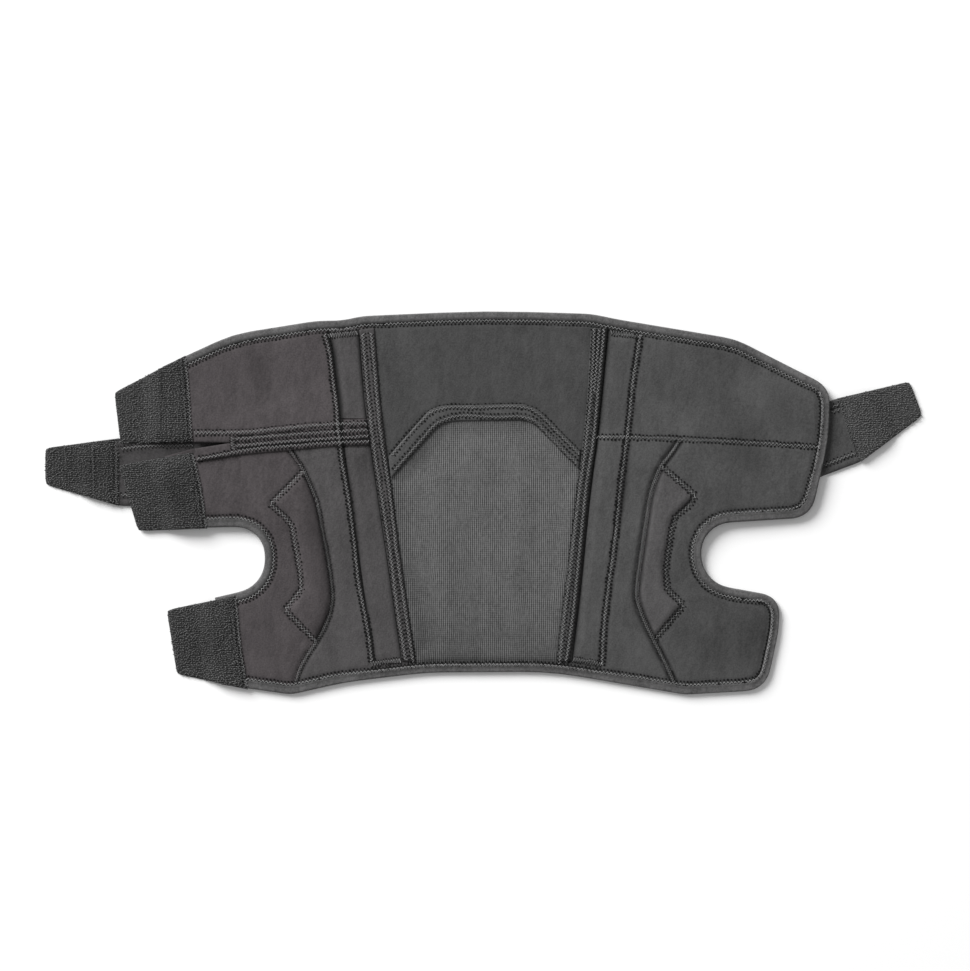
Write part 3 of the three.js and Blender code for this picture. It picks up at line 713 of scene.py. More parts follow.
def even_loop(loop, step):
    """The same outline in even steps, with its slight facets smoothed and its corners kept."""
    kept = [loop[0]]
    for at in loop[1:]:
        if np.hypot(*(at - kept[-1])) > 0.25 * step:
            kept.append(at)
    fine = []
    for a, b in zip(kept, kept[1:] + kept[:1]):
        count = max(1, round(float(np.hypot(*(b - a))) / step))
        fine += [a + (b - a) * k / count for k in range(count)]
    fine = np.array(fine)
    back, on = fine - np.roll(fine, 2, 0), np.roll(fine, -2, 0) - fine
    turn = np.abs(np.arctan2(back[:, 0] * on[:, 1] - back[:, 1] * on[:, 0], (back * on).sum(1)))
    free = (turn < 0.6)[:, None]
    for _ in range(8):
        middle = (np.roll(fine, 1, 0) + np.roll(fine, -1, 0)) / 2
        fine = np.where(free, 0.5 * fine + 0.5 * middle, fine)
    return fine


def inside(loop, x, y):
    """Which places lie within an outline."""
    odd = np.zeros(x.shape, dtype=bool)
    for (ax, ay), (bx, by) in zip(loop, np.roll(loop, -1, 0)):
        if ay != by:
            odd ^= ((ay > y) != (by > y)) & (x < (bx - ax) * (y - ay) / (by - ay) + ax)
    return odd


def loop_area(loop):
    x, y = loop[:, 0], loop[:, 1]
    return abs(float((x * np.roll(y, -1) - y * np.roll(x, -1)).sum())) / 2


def filled(loop, step, rings):
    """Points and triangles that fill an outline: its own points first, then rings inside it and a grid."""
    rim = Lines([np.vstack([loop, loop[:1]])])
    back, on = loop - np.roll(loop, 1, 0), np.roll(loop, -1, 0) - loop
    way = back / np.linalg.norm(back, axis=1)[:, None] + on / np.linalg.norm(on, axis=1)[:, None]
    way /= np.maximum(np.linalg.norm(way, axis=1), 1e-6)[:, None]
    inward = np.stack([-way[:, 1], way[:, 0]], 1)
    extra = []
    for depth in rings:
        ring = loop + inward * depth
        room = inside(loop, ring[:, 0], ring[:, 1]) & (rim.distance(ring[:, 0], ring[:, 1]) > 0.9 * depth)
        extra.append(ring[room])
    low, high = loop.min(0), loop.max(0)
    rows = np.arange(low[1], high[1], step * 0.866)
    columns = np.arange(low[0], high[0], step)
    gx, gy = np.meshgrid(columns, rows)
    gx = gx + (np.arange(len(rows)) % 2)[:, None] * step / 2
    gx, gy = gx.ravel(), gy.ravel()
    keep = inside(loop, gx, gy)
    gx, gy = gx[keep], gy[keep]
    clear = rim.distance(gx, gy) > (max(rings) if rings else 0) + 0.55 * step
    points = np.vstack([loop, *extra, np.stack([gx[clear], gy[clear]], 1)])
    size = len(loop)
    edges = [(i, (i + 1) % size) for i in range(size)]
    verts, _, faces, *_ = delaunay_2d_cdt([Vector(p) for p in points], edges, [], 1, 1e-5)
    return np.array([(v.x, v.y) for v in verts]), np.array([tuple(f) for f in faces]), size


cloth_pieces = bpy.data.collections.new("cloth_pieces")
FINE = 2.0 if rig.quick() else 1.0
UNDER_STEP = 7.0
# The narrowest strip that a flat size gives, in metres
LEAST_STRIP = 0.01


def plain_piece(name, points, faces, material, crease):
    """A mesh piece with one finish and the painted shade stored on its points."""
    mesh = bpy.data.meshes.new(name)
    mesh.from_pydata([tuple(p) for p in points], [], [tuple(int(i) for i in f) for f in faces])
    mesh.update()
    # Painted shade per point, which the finishes mix toward near-black
    mesh.attributes.new("crease", "FLOAT", "POINT").data.foreach_set("value", crease.astype(np.float32))
    mesh.shade_smooth()
    mesh.set_sharp_from_angle(angle=math.radians(55))
    mesh.materials.append(material)
    piece = bpy.data.objects.new(name, mesh)
    bpy.context.scene.collection.objects.link(piece)
    return piece


def sheet_piece(node, top, bottom, crease, finish, step, rings=(0.3, 0.9)):
    """A closed soft sheet over a node's outline.

    top and the painted shade work from x, y and the distance to the edge, and bottom from x and y.
    """
    loop = even_loop(plan_loop(node), FINE)
    plan, faces, size = filled(loop, step * FINE, rings)
    x, y = plan[:, 0], plan[:, 1]
    edge = Lines([np.vstack([loop, loop[:1]])]).distance(x, y)
    edge[:size] = 0
    under, under_faces, _ = filled(loop, UNDER_STEP, ())
    ux, uy = under[:, 0], under[:, 1]
    upper = np.stack([x, y, top(x, y, edge)], 1)
    lower = np.stack([ux, uy, bottom(ux, uy)], 1)
    count = len(upper)
    wall = [(i, i + count, (i + 1) % size + count, (i + 1) % size) for i in range(size)]
    floor = [tuple(int(i) + count for i in f[::-1]) for f in under_faces]
    # Painted shade for the top's points, none for the underside
    shades = np.concatenate([crease(x, y, edge), np.zeros(len(lower))])
    mesh_faces = [tuple(f) for f in faces] + wall + floor
    piece = plain_piece(f"{node}_cloth", np.vstack([upper, lower]) * MM, mesh_faces, FINISHES[finish], shades)
    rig.ride(piece, "root")
    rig.replaces(piece, node)
    cloth_pieces.objects.link(piece)
    return piece, loop


def panel_cut(loop):
    """The rectangle that a panel is cut from, and the panel's own area, in metres."""
    width, length = (float(v) * MM for v in loop.max(0) - loop.min(0))
    return {"flat": (width, length), "area": loop_area(loop) * MM * MM}


def strip_cut(loop, folds=1):
    """A strip with the outline's area and way round; a folded one is cut that much wider."""
    half = float(np.hypot(*(np.roll(loop, -1, 0) - loop).T).sum()) / 2 * MM
    area = loop_area(loop) * MM * MM
    length = half / 2 + math.sqrt(max(half * half / 4 - area, 0))
    width = max(LEAST_STRIP, folds * area / length)
    return {"flat": (width, length), "area": min(folds * area, width * length)}


def rounded(edge, radius, least):
    """Share of the full thickness near a soft edge."""
    t = np.clip(edge / radius, 0, 1)
    return least + (1 - least) * np.sqrt(1 - (1 - t) ** 2)


# The panels' finishes and thicknesses, and where the rolled edge meets them

PANELS = {
    "centre_top_panel": ("middle", NEOPRENE),
    "left_upper_panel": ("left", NEOPRENE),
    "left_inner_panel": ("left_inner", NEOPRENE),
    "left_outer_panel": ("left", NEOPRENE),
    "right_upper_panel": ("right", NEOPRENE),
    "right_inner_panel": ("right", NEOPRENE),
    "right_outer_panel": ("right", NEOPRENE),
    "knit_panel": ("knit", KNIT),
}
# How near a binding's outline lies to a panel where the two touch
SEAM_TOUCH = 1.6
# How far the edge row lies from the seam, on the panels and out on the roll
ROW_ON_PANEL = 0.3
ROW_ON_ROLL = -1.0


def binding_sides(node):
    """A binding's line along the panels and its line along the rim."""
    loop = even_loop(plan_loop(node), 1.0)
    panels = Lines([np.vstack([o, o[:1]]) for o in map(plan_loop, PANELS)])
    touching = panels.distance(loop[:, 0], loop[:, 1]) < SEAM_TOUCH
    first = next(i for i in range(len(loop)) if touching[i] and not touching[i - 1])
    turned, held = np.roll(loop, -first, 0), np.roll(touching, -first)
    runs, kept = [[]], True
    for at, on in zip(turned, held):
        if on != kept:
            runs.append([])
            kept = on
        runs[-1].append(at)
    inner = max(runs[0::2], key=len)
    outer = max(runs[1::2], key=len)
    return np.array(inner), np.array(outer)


def beside(line, by):
    """The line moved sideways, to the right of the way it runs."""
    way = np.gradient(line, axis=0)
    way /= np.linalg.norm(way, axis=1)[:, None]
    moved = line + np.stack([way[:, 1], -way[:, 0]], 1) * by
    for _ in range(6):
        moved[1:-1] = 0.5 * moved[1:-1] + 0.25 * (moved[:-2] + moved[2:])
    return moved


BINDINGS = {node: binding_sides(node) for node in ("edge_binding", "notch_binding")}
TAB_OUTLINES = [plan_loop(node) for node in WING_ENDS]


def outside_tabs(line):
    """The stretches of a line that no hook tab covers."""
    covered = np.any([inside(tab, line[:, 0], line[:, 1]) for tab in TAB_OUTLINES], axis=0)
    cuts = np.flatnonzero(np.diff(covered.astype(int))) + 1
    parts = zip(np.split(line, cuts), np.split(covered, cuts))
    return [part for part, hid in parts if not hid[0] and len(part) > 4]


def edge_row(inner):
    """The row along the rolled edge, nearer the rim below the knit, on the right lobe and at its end."""
    seam, rim = beside(inner, ROW_ON_PANEL), beside(inner, ROW_ON_ROLL)
    x, y = inner.T
    below = step_up(85, 100, -y) * (1 - step_up(60, 100, np.abs(x)))
    lobe = step_up(168, 178, x) * step_up(52, 64, -y)
    share = np.maximum(np.maximum(0.8 * below, 1.2 * lobe), 0.9 * step_up(204, 213, x))[:, None]
    return seam * (1 - share) + rim * share


EDGE_ROWS = [part for inner, _ in BINDINGS.values() for part in outside_tabs(edge_row(inner))]
EDGE_LINES = Lines(EDGE_ROWS)


def row_lines(rows, *sides):
    """Lines along rows, or beside them by each of the given distances."""
    lines = smooth(rows)
    return Lines([beside(np.array(line), by) for line in lines for by in sides] if sides else lines)


# What the sewing pulls into the cloth, with painted shade along it: the lines, how deep, how wide and how dark
SEWN = [
    (EDGE_LINES, 0.5, 2.0, 0.18),
    (Lines([beside(inner, 2.0) for inner, _ in BINDINGS.values()]), 0.4, 0.9, 0.22),
    (row_lines([*CHANNEL_ROWS.values(), CROSS_ROW, *BAR_TACKS]), 0.45, 1.8, 0.18),
    (row_lines(TAPE_ROWS[:2]), 0.45, 1.8, 0.26),
    (row_lines([*TAPE_ROWS[2:], TAPE_TOP_ROW]), 0.45, 1.8, 0.48),
    (row_lines(SLIT_ROWS), 0.4, 1.5, 0.1),
    (row_lines([CRESCENT_SEAMS["left"][2:11]], 4.0), 0.3, 5.0, 0.26),
    (row_lines(TRIM_ROWS), 0.4, 1.8, 0.2),
    (row_lines([CHANNEL_ROWS["left"]], -2.3), 0.9, 1.8, 0.95),
    (row_lines([TAPE_ROWS[3]], -2.3), 0.8, 1.3, 0.94),
    (row_lines([TAPE_ROWS[0]], 2.3), 0.4, 1.0, 0.65),
    (row_lines([CHANNEL_ROWS["right"]], 2.3), 0.4, 1.0, 0.4),
    (row_lines([CHANNEL_ROWS["right"]], -2.3), 0.4, 1.2, 0.4),
    (Lines(CRESCENT_EDGES.values()), 0.5, 2.0, 0.22),
    (row_lines([CRESCENT_SEAMS["left"]], -1.7, 1.7), 0.6, 1.0, 0.4),
    (row_lines([CRESCENT_SEAMS["right"]], -1.9, 1.8), 0.7, 1.1, 0.78),
]


def sewn(x, y):
    """How far the sewing pulls the cloth down, and how dark the painted shade is there."""
    deep, dark = np.zeros_like(x), np.zeros_like(x)
    for lines, depth, half, shade in SEWN:
        away = lines.distance(x, y)
        deep = np.maximum(deep, near(away, depth, half))
        dark = np.maximum(dark, near(away, shade, half))
    return deep, dark


def dented(dents, x, y):
    """How far soft dents sink the cloth, and how dark the painted shade in them is."""
    deep, dark = np.zeros_like(x), np.zeros_like(x)
    for at_x, at_y, reach_x, reach_y, lean, depth, shade in dents:
        share = np.exp(-((x - at_x + lean * (y - at_y)) / reach_x) ** 2 - ((y - at_y) / reach_y) ** 2)
        deep = deep + depth * share
        dark = dark + shade * share
    return deep, dark


SLIT_LINES = Lines(SLIT_LIPS)


def sunk(x, y):
    """How far the wings sink beside the slit."""
    return near(SLIT_LINES.distance(x, y), *SLIT_SINK) * step_up(158, 174, -x)


# Panels

for node, (finish, thick) in PANELS.items():
    def top(x, y, edge, thick=thick):
        sheet = lift(x, y) + thick * rounded(edge, *ROUNDING["panel"])
        uneven = sheet + ripple(x, y) * step_up(0, RIPPLE_EDGE, edge)
        risen = uneven + (NEOPRENE - thick) * (1 - step_up(*KNIT_RISE, edge))
        return risen - sewn(x, y)[0] - dented(PANEL_DENTS, x, y)[0] - sunk(x, y)

    # Painted shade along the panel's edge, its sewing and its dents; on the knit also darker near its edge, downwards
    # from its top and towards its foot
    def crease(x, y, edge, knit=finish == "knit"):
        dark = np.maximum(near(edge, *SHADES["panel"]), sewn(x, y)[1]) + dented(PANEL_DENTS, x, y)[1]
        if not knit:
            return dark
        fall = KNIT_FALL * (KNIT_TOP - y) + KNIT_FOOT_SHADE * step_up(72, 92, -y)
        return dark + near(edge, *SHADES["knit"]) + fall

    piece, loop = sheet_piece(node, top, lift, crease, finish, step=1.2)
    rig.slot(piece, "knit" if finish == "knit" else "neoprene")
    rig.sheet(piece, held="laid", rests_on=["floor"], **panel_cut(loop))

# The rolled edge: full at the rim, falling to the seam
for node, (inner, outer) in BINDINGS.items():
    def top(x, y, edge, inner=Lines([inner]), outer=Lines([outer])):
        out, back = outer.distance(x, y), inner.distance(x, y)
        roll = np.interp(out / np.maximum(out + back, 0.1), ROLL_SHARES, ROLL_HEIGHTS)
        return lift(x, y) + BINDING * roll * rounded(edge, *ROUNDING["binding"])

    # Painted shade in the groove beside the edge row, and darker towards the bottom
    def crease(x, y, edge):
        beside_row = near(EDGE_LINES.distance(x, y) - BINDING_SHADE_AT, *SHADES["binding"])
        return beside_row + BINDING_FOOT_SHADE * step_up(85, 105, -y)

    piece, loop = sheet_piece(node, top, lift, crease, "binding", step=0.9, rings=(0.25, 0.7, 1.4))
    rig.slot(piece, "binding")
    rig.sheet(piece, held="folded", rests_on=["floor"], **strip_cut(loop, BINDING_FOLDS))


# Tapes, trim and the slit's binding

def tape_top(x, y, edge):
    return lift(x, y) + ON_PANEL + TAPE * rounded(edge, *ROUNDING["tape"]) - TAPE_PULL * sewn(x, y)[0]


def tape_bottom(x, y):
    return lift(x, y) + ON_PANEL - LAYER_SEAT


# Painted shade along the tape's edge and its sewing
def tape_painted_shade(x, y, edge):
    return np.maximum(near(edge, *SHADES["tape"]), sewn(x, y)[1])


TAPES = {
    "left_seam_tape": "left_inner",
    "right_seam_tape": "right",
    "knit_panel_trim": "trim",
    "slit_binding": "left",
}
for node, finish in TAPES.items():
    piece, loop = sheet_piece(node, tape_top, tape_bottom, tape_painted_shade, finish, step=0.9, rings=(0.3, 0.8))
    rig.slot(piece, "neoprene")
    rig.sheet(piece, held="laid", rests_on=["left_inner_panel_cloth", "right_inner_panel_cloth"],
             **strip_cut(loop))


# Stay channels: pillows between their sewn row and the tape, with painted shadow darkest along their lower-x side

def pad_bottom(x, y):
    return lift(x, y) + ON_PANEL - LAYER_GAP


PAD_RINGS = (0.2, 0.6, 1.1)
# Each channel's side, and the rows along its lower and higher x
CHANNELS = {
    "left_upper_stay_channel": ("left", CHANNEL_ROWS["left"], TAPE_ROWS[0]),
    "left_lower_stay_channel": ("left", CHANNEL_ROWS["left"], TAPE_ROWS[0]),
    "right_stay_channel": ("right", TAPE_ROWS[3], CHANNEL_ROWS["right"]),
}
for node, (side, low_row, high_row) in CHANNELS.items():
    low_x, high_x = row_lines([low_row]), row_lines([high_row])
    outline = plan_loop(node)
    low_gap = low_x.distance(*outline.T).min()
    high_gap = high_x.distance(*outline.T).min()

    def sides(x, y):
        return np.maximum(low_x.distance(x, y) - low_gap, 0), np.maximum(high_x.distance(x, y) - high_gap, 0)

    def pillow(x, y, edge):
        low, high = sides(x, y)
        ramp = 0.04 + 0.96 * step_up(0, CHANNEL_RAMP, high)
        rise = np.minimum(rounded(low, *ROUNDING["channel"]), ramp) * (0.4 + 0.6 * step_up(0, 6, edge))
        return lift(x, y) + ON_PANEL - LAYER_SEAT + CHANNEL_PILLOW * rise

    # Painted shadow along the fold at the lower x, and a thinner painted shade along the higher x
    def fold_shade(x, y, edge, left=side == "left"):
        low, high = sides(x, y)
        if left:
            wide = 2.5 - 0.7 * step_up(-20, 90, -y)
            beyond = near(high, 0.62 + 0.28 * step_up(40, 50, y), 1.7)
        else:
            wide = 1.3 + 0.9 * step_up(20, 90, -y) + 0.6 * step_up(40, 70, y)
            beyond = near(high, 0.58, 2.0)
        fold = np.maximum(near(low, FOLD_SHADE, wide), near(low, *SHADES["broad_fold"]))
        return np.maximum(fold, beyond)

    piece, loop = sheet_piece(
        node, pillow, pad_bottom, fold_shade, f"{side}_channel", step=1.0, rings=PAD_RINGS)
    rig.slot(piece, "neoprene")
    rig.padded(piece, fill=0.8)


# Crescent pads beside the kneecap notches

def pad_top(x, y, edge):
    crown = PAD_PILLOW * rounded(edge, *ROUNDING["pad"])
    return lift(x, y) + ON_PANEL - LAYER_SEAT + crown - PAD_PULL * sewn(x, y)[0]


# Painted shade along the pad's edge and its sewing
def pad_painted_shade(x, y, edge):
    return np.maximum(near(edge, *SHADES["pad"]), sewn(x, y)[1])


for node, finish in (("left_crescent_pad", "left"), ("right_crescent_pad", "right_pad")):
    piece, loop = sheet_piece(node, pad_top, pad_bottom, pad_painted_shade, finish, step=1.0, rings=PAD_RINGS)
    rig.slot(piece, "neoprene")
    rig.padded(piece, fill=0.6)


# Straps, with a sewn hem; the left one swells where it shows in the slit

def strap_top(x, y, edge):
    hem = near(edge - STRAP_HEM, *HEM_GROOVE)
    swell = near(y - STRAP_SWELL_Y, *STRAP_SWELL) * step_up(160, 185, -x)
    return STRAP * rounded(edge, *ROUNDING["strap"]) - hem + swell


def strap_bottom(x, y):
    return np.zeros_like(x)


# Painted shade in the hem's groove
def strap_painted_shade(x, y, edge):
    return near(edge - STRAP_HEM, *SHADES["hem"])


for side in STRAPS:
    node = f"{side}_strap"
    piece, loop = sheet_piece(node, strap_top, strap_bottom, strap_painted_shade, finish=node, step=1.4)
    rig.slot(piece, "binding")
    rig.sheet(piece, held="laid", rests_on=["floor"], **strip_cut(loop))

# Hook tabs: sewn down along their rows, then falling to the table past the wing's or the strap's end
hook_tabs = []
for (node, line), points in zip(WING_ENDS.items(), TAB_ROWS[0:6:2]):
    row = row_lines([points])

    def rest(x, y, line=line, row=row):
        drop = step_up(0, TAB_DROP, past_end(line, x, y))
        pressed = near(row.distance(x, y), *TAB_PRESS) + sunk(x, y)
        raised = lift(x, y)
        over_wing = NEOPRENE + TAB_CLEARANCE - pressed
        return raised + over_wing * (1 - drop) + (TAB_REST - TAB_SETTLE * raised) * drop

    hook_tabs.append((node, rest, row))
for side, points in zip(STRAPS, TAB_ROWS[6::2]):
    row = row_lines([points])

    def rest(x, y, strap=STRAPS[side], row=row):
        drop = step_up(0.5, TAB_DROP, strap_place(strap, x, y)[0] - STRAP_END)
        pressed = near(row.distance(x, y), *STRAP_TAB_PRESS)
        return (STRAP + LAYER_GAP - pressed) * (1 - drop) + TAB_REST * drop

    hook_tabs.append((f"{side}_strap_hook_tab", rest, row))


# Painted shade along the tab's edge, with its darker patches
def tab_painted_shade(x, y, edge):
    return near(edge, *SHADES["tab"]) + dented(TAB_DENTS, x, y)[1]


tab_pieces = []
for node, rest, row in hook_tabs:
    def top(x, y, edge, rest=rest, row=row):
        thin = near(row.distance(x, y), *TAB_THIN)
        return rest(x, y) + HOOK_SHEET * rounded(edge, *ROUNDING["tab"]) * (1 - thin)

    finish = "right_hook" if node == "right_strap_hook_tab" else "hook"
    piece, loop = sheet_piece(node, top, rest, tab_painted_shade, finish, step=1.3)
    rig.slot(piece, "hook")
    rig.sheet(piece, held="laid", rests_on=["floor"], **strip_cut(loop))
    tab_pieces.append(piece)


# Sewing: zigzag rows laid on whatever cloth lies under them

class Tree:
    """A Geometry Nodes tree with named inputs."""

    def __init__(self, name, **inputs):
        self.tree = bpy.data.node_groups.new(name, "GeometryNodeTree")
        self.sockets = {}
        self.tree.interface.new_socket("Geometry", in_out="OUTPUT", socket_type="NodeSocketGeometry")
        self.tree.interface.new_socket("Geometry", in_out="INPUT", socket_type="NodeSocketGeometry")
        for key, kind in inputs.items():
            made = self.tree.interface.new_socket(key, in_out="INPUT", socket_type=f"NodeSocket{kind}")
            self.sockets[key] = made.identifier
        self.given = self.tree.nodes.new("NodeGroupInput")
        self.result = self.tree.nodes.new("NodeGroupOutput")

    def node(self, kind, settings=None, inputs=None):
        family = "" if kind.startswith(("Shader", "Function")) else "GeometryNode"
        made = self.tree.nodes.new(family + kind)
        for key, value in (settings or {}).items():
            setattr(made, key, value)
        for key, value in (inputs or {}).items():
            if isinstance(value, bpy.types.NodeSocket):
                self.tree.links.new(value, made.inputs[key])
            else:
                made.inputs[key].default_value = value
        return made

    def input(self, name):
        return self.given.outputs[name]

    def end(self, socket):
        self.tree.links.new(socket, self.result.inputs[0])


def zigzag_tree():
    """Thread that zigzags along rows, with near-black discs of painted shade for the needle holes beside its turns,
    laid on the cloth below.
    """
    t = Tree("zigzag_row", Pitch="Float", Width="Float", HoleWidth="Float", Aside="Float", Thread="Float",
             Hole="Float", Cloth="Collection", Yarn="Material", Dark="Material")
    rows = t.node("MeshToCurve", {}, {"Mesh": t.input("Geometry")})
    even = t.node("ResampleCurve", {"mode": "LENGTH"}, {"Curve": rows.outputs[0], "Length": t.input("Pitch")})
    index = t.node("InputIndex")
    odd = t.node("ShaderNodeMath", {"operation": "MODULO"}, {0: index.outputs[0], 1: 2.0})
    side = t.node("ShaderNodeMath", {"operation": "SUBTRACT"}, {0: odd.outputs[0], 1: 0.5})
    tangent = t.node("InputTangent")
    across = t.node("ShaderNodeVectorMath", {"operation": "CROSS_PRODUCT"}, {
        0: tangent.outputs[0], 1: (0.0, 0.0, 1.0)})
    cloth = t.node("CollectionInfo", {}, {"Collection": t.input("Cloth")})
    ground = t.node("RealizeInstances", {}, {"Geometry": cloth.outputs[0]})
    here = t.node("InputPosition")
    above = t.node("ShaderNodeVectorMath", {"operation": "ADD"}, {0: here.outputs[0], 1: (0.0, 0.0, 0.05)})
    cast = t.node("Raycast", {}, {
        "Target Geometry": ground.outputs[0], "Source Position": above.outputs[0],
        "Ray Direction": (0.0, 0.0, -1.0), "Ray Length": 1.0})
    uneven = t.node("FunctionNodeRandomValue", {"data_type": "FLOAT"}, {2: 0.8, 3: 1.2, "Seed": 5})
    swing = t.node("ShaderNodeMath", {"operation": "MULTIPLY"}, {0: side.outputs[0], 1: uneven.outputs[1]})

    def laid(width, aside=0.0):
        offset = t.node("ShaderNodeMath", {"operation": "MULTIPLY_ADD"}, {
            0: swing.outputs[0], 1: width, 2: aside})
        moved = t.node("ShaderNodeVectorMath", {"operation": "SCALE"}, {
            0: across.outputs[0], "Scale": offset.outputs[0]})
        turned = t.node("SetPosition", {}, {"Geometry": even.outputs[0], "Offset": moved.outputs[0]})
        return t.node("SetPosition", {}, {
            "Geometry": turned.outputs[0], "Selection": cast.outputs["Is Hit"],
            "Position": cast.outputs["Hit Position"]})

    stand = t.node("ShaderNodeCombineXYZ", {}, {2: t.input("Thread")})
    thread_line = laid(t.input("Width"))
    raised = t.node("SetPosition", {}, {"Geometry": thread_line.outputs[0], "Offset": stand.outputs[0]})
    profile = t.node("CurvePrimitiveCircle", {}, {"Resolution": 5, "Radius": t.input("Thread")})
    yarn = t.node("CurveToMesh", {}, {
        "Curve": raised.outputs[0], "Profile Curve": profile.outputs[0], "Fill Caps": True})
    yarn_shown = t.node("SetMaterial", {}, {"Geometry": yarn.outputs[0], "Material": t.input("Yarn")})
    # Near-black discs of painted shade where the needle holes are
    disc = t.node("MeshCircle", {"fill_type": "TRIANGLE_FAN"}, {"Vertices": 7, "Radius": t.input("Hole")})
    disc_up = t.node("SetPosition", {}, {"Geometry": disc.outputs[0], "Offset": (0.0, 0.0, 0.00025)})
    hole_size = t.node("FunctionNodeRandomValue", {"data_type": "FLOAT"}, {2: 0.75, 3: 1.25, "Seed": 8})
    hole_places = laid(t.input("HoleWidth"), t.input("Aside"))
    holes = t.node("InstanceOnPoints", {}, {
        "Points": hole_places.outputs[0], "Instance": disc_up.outputs[0], "Scale": hole_size.outputs[1]})
    real_holes = t.node("RealizeInstances", {}, {"Geometry": holes.outputs[0]})
    dark_holes = t.node("SetMaterial", {}, {"Geometry": real_holes.outputs[0], "Material": t.input("Dark")})
    both = t.node("JoinGeometry")
    t.tree.links.new(yarn_shown.outputs[0], both.inputs[0])
    t.tree.links.new(dark_holes.outputs[0], both.inputs[0])
    t.end(both.outputs[0])
    return t


def hook_tree():
    """Bent filaments scattered over the upward faces of a mesh."""
    t = Tree("hook_field", Spacing="Float", Height="Float", Filament="Float", Seed="Int", Yarn="Material")
    normal = t.node("InputNormal")
    split = t.node("ShaderNodeSeparateXYZ", {}, {0: normal.outputs[0]})
    facing = t.node("FunctionNodeCompare", {"data_type": "FLOAT", "operation": "GREATER_THAN"},
                    {"A": split.outputs[2], "B": 0.6})
    points = t.node("DistributePointsOnFaces", {"distribute_method": "POISSON"}, {
        "Mesh": t.input("Geometry"), "Selection": facing.outputs[0], "Distance Min": t.input("Spacing"),
        "Density Max": 2.0e6, "Seed": t.input("Seed")})
    arc = t.node("CurveArc", {}, {"Resolution": 5, "Radius": t.input("Height"), "Start Angle": 0.0,
                                  "Sweep Angle": math.radians(205)})
    stood = t.node("Transform", {}, {"Geometry": arc.outputs[0], "Rotation": (math.pi / 2, 0.0, 0.0)})
    profile = t.node("CurvePrimitiveCircle", {}, {"Resolution": 4, "Radius": t.input("Filament")})
    hook = t.node("CurveToMesh", {}, {
        "Curve": stood.outputs[0], "Profile Curve": profile.outputs[0], "Fill Caps": True})
    turn = t.node("FunctionNodeRandomValue", {"data_type": "FLOAT_VECTOR"}, {
        "Min": (-0.4, -0.4, -1.2), "Max": (0.4, 0.4, 1.2), "Seed": t.input("Seed")})
    size = t.node("FunctionNodeRandomValue", {"data_type": "FLOAT"}, {
        2: 0.75, 3: 1.2, "Seed": t.input("Seed")})
    placed = t.node("InstanceOnPoints", {}, {
        "Points": points.outputs[0], "Instance": hook.outputs[0], "Rotation": turn.outputs[0],
        "Scale": size.outputs[1]})
    real = t.node("RealizeInstances", {}, {"Geometry": placed.outputs[0]})
    shown = t.node("SetMaterial", {}, {"Geometry": real.outputs[0], "Material": t.input("Yarn")})
    t.end(shown.outputs[0])
    return t


def grown(name, mesh, tree, **values):
    """A plain mesh piece grown from a mesh by a tree, with the modifier gone."""
    seed = bpy.data.objects.new(name, mesh)
    bpy.context.scene.collection.objects.link(seed)
    modifier = seed.modifiers.new("rows", "NODES")
    modifier.node_group = tree.tree
    for key, value in values.items():
        modifier[tree.sockets[key]] = value
    shape = bpy.data.meshes.new_from_object(seed.evaluated_get(bpy.context.evaluated_depsgraph_get()))
    seed.modifiers.remove(modifier)
    seed.data = shape
    shape.name = name
    shape.shade_smooth()
    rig.ride(seed, "root")
    return seed


def row_mesh(name, rows):
    """Rows as edges a little above the panels, for a tree to grow thread on."""
    points, edges = [], []
    for row in rows:
        start = len(points)
        x, y = np.array(row, dtype=float).T
        points += [tuple(p) for p in np.stack([x, y, lift(x, y) + 0.9 * NEOPRENE], 1) * MM]
        edges += [(i, i + 1) for i in range(start, start + len(row) - 1)]
    mesh = bpy.data.meshes.new(name)
    mesh.from_pydata(points, edges, [])
    return mesh


strap_lines = [part for row in STRAP_ROWS for part in outside_tabs(stepped(row, 0.5))]
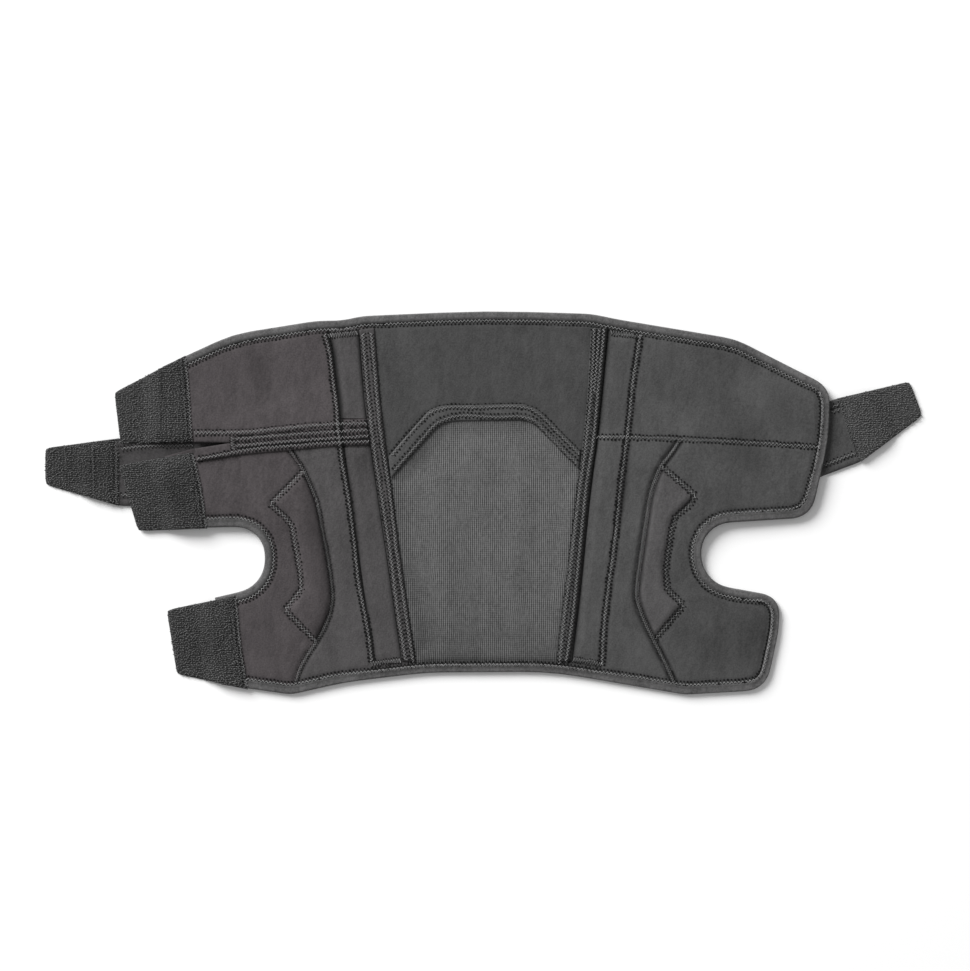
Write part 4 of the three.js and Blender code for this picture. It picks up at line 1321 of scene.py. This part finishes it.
# Rows: the lines, half pitch, thread width, hole spread and its shift, thread radius and the radius of the needle
# holes' painted-shade discs, and the yarn
ROW_STYLES = {
    "edge_sewing": (EDGE_ROWS, 1.17, 1.3, 2.2, 0.8, 0.29, 0.62, THREAD),
    "channel_sewing": (smooth(CHANNEL_ROWS.values()), 1.17, 1.6, 3.5, 0, 0.26, 0.8, THREAD),
    "panel_sewing": (smooth([*SLIT_ROWS, CROSS_ROW]), 1.17, 1.6, 3.3, 0, 0.26, 0.66, THREAD),
    "tape_sewing": (smooth([*TAPE_ROWS, TAPE_TOP_ROW]), 1.17, 1.6, 3.3, 0, 0.26, 0.58, THREAD),
    "strap_sewing": (strap_lines, 1.17, 1.3, 3.2, 0, 0.25, 0.44, TRIM_THREAD),
    "trim_sewing": (smooth(TRIM_ROWS), 1.2, 1.2, 3.3, -0.3, 0.24, 0.58, TRIM_THREAD),
    "pad_sewing": (list(CRESCENT_EDGES.values()), 1.2, 1.7, 3.6, 0, 0.27, 0.58, THREAD),
    "crescent_seams": (smooth(CRESCENT_SEAMS.values()), 0.85, 1.4, 2.7, 0, 0.24, 0.42, SEAM_THREAD),
    "tab_edge_sewing": (smooth(TAB_ROWS[0:6:2]), 1.1, 1.3, 2.2, 0.8, 0.27, 0.38, TRIM_THREAD),
    "tab_sewing": (smooth([*TAB_ROWS[1:6:2], *TAB_ROWS[6:]]), 1.1, 1.3, 2.2, 0.8, 0.25, 0.32, TAB_THREAD),
    "bar_tacks": (BAR_TACKS, 0.8, 2.4, 3.8, 0, 0.27, 0.44, THREAD),
}
bpy.context.view_layer.update()
zigzag = zigzag_tree()
for name, (rows, pitch, width, spread, aside, thread, hole, yarn) in ROW_STYLES.items():
    grown(name, row_mesh(name, rows), zigzag, Pitch=pitch * MM, Width=width * MM, HoleWidth=spread * MM,
          Aside=aside * MM, Thread=thread * MM, Hole=hole * MM, Cloth=cloth_pieces, Yarn=yarn,
          Dark=NEEDLE_HOLE_SHADE)

hooks = hook_tree()
# The hooks take the painted shade of the tab's points with them, which darkens their filament
for number, piece in enumerate(tab_pieces):
    field = grown(piece.name.replace("_cloth", "_hooks"), piece.data.copy(), hooks, Spacing=HOOK_SPACING * MM,
                  Height=HOOK_HEIGHT * MM, Filament=HOOK_RADIUS * MM, Seed=number + 3, Yarn=HOOK_FILAMENT)
    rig.slot(field, "hook")


# The floor

def make_floor():
    mesh = bpy.data.meshes.new("floor")
    corners = [(-1, -1, 0), (1, -1, 0), (1, 1, 0), (-1, 1, 0)]
    mesh.from_pydata([[FLOOR_REACH * v for v in corner] for corner in corners], [], [(0, 1, 2, 3)])
    f = Finish("floor_white")
    tone = f.noise(400, 1.0)
    mesh.materials.append(f.surface(f.shade((0.94, 0.94, 0.94), (0.96, 0.96, 0.96), tone), 0.9))
    floor = bpy.data.objects.new("floor", mesh)
    bpy.context.scene.collection.objects.link(floor)
    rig.stage(floor)


make_floor()
with open("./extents.json", "w") as out:
    json.dump({"cad": [list(map(float, c)) for c in cad_box], "visual": [list(map(float, c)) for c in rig.bounds()]}, out)
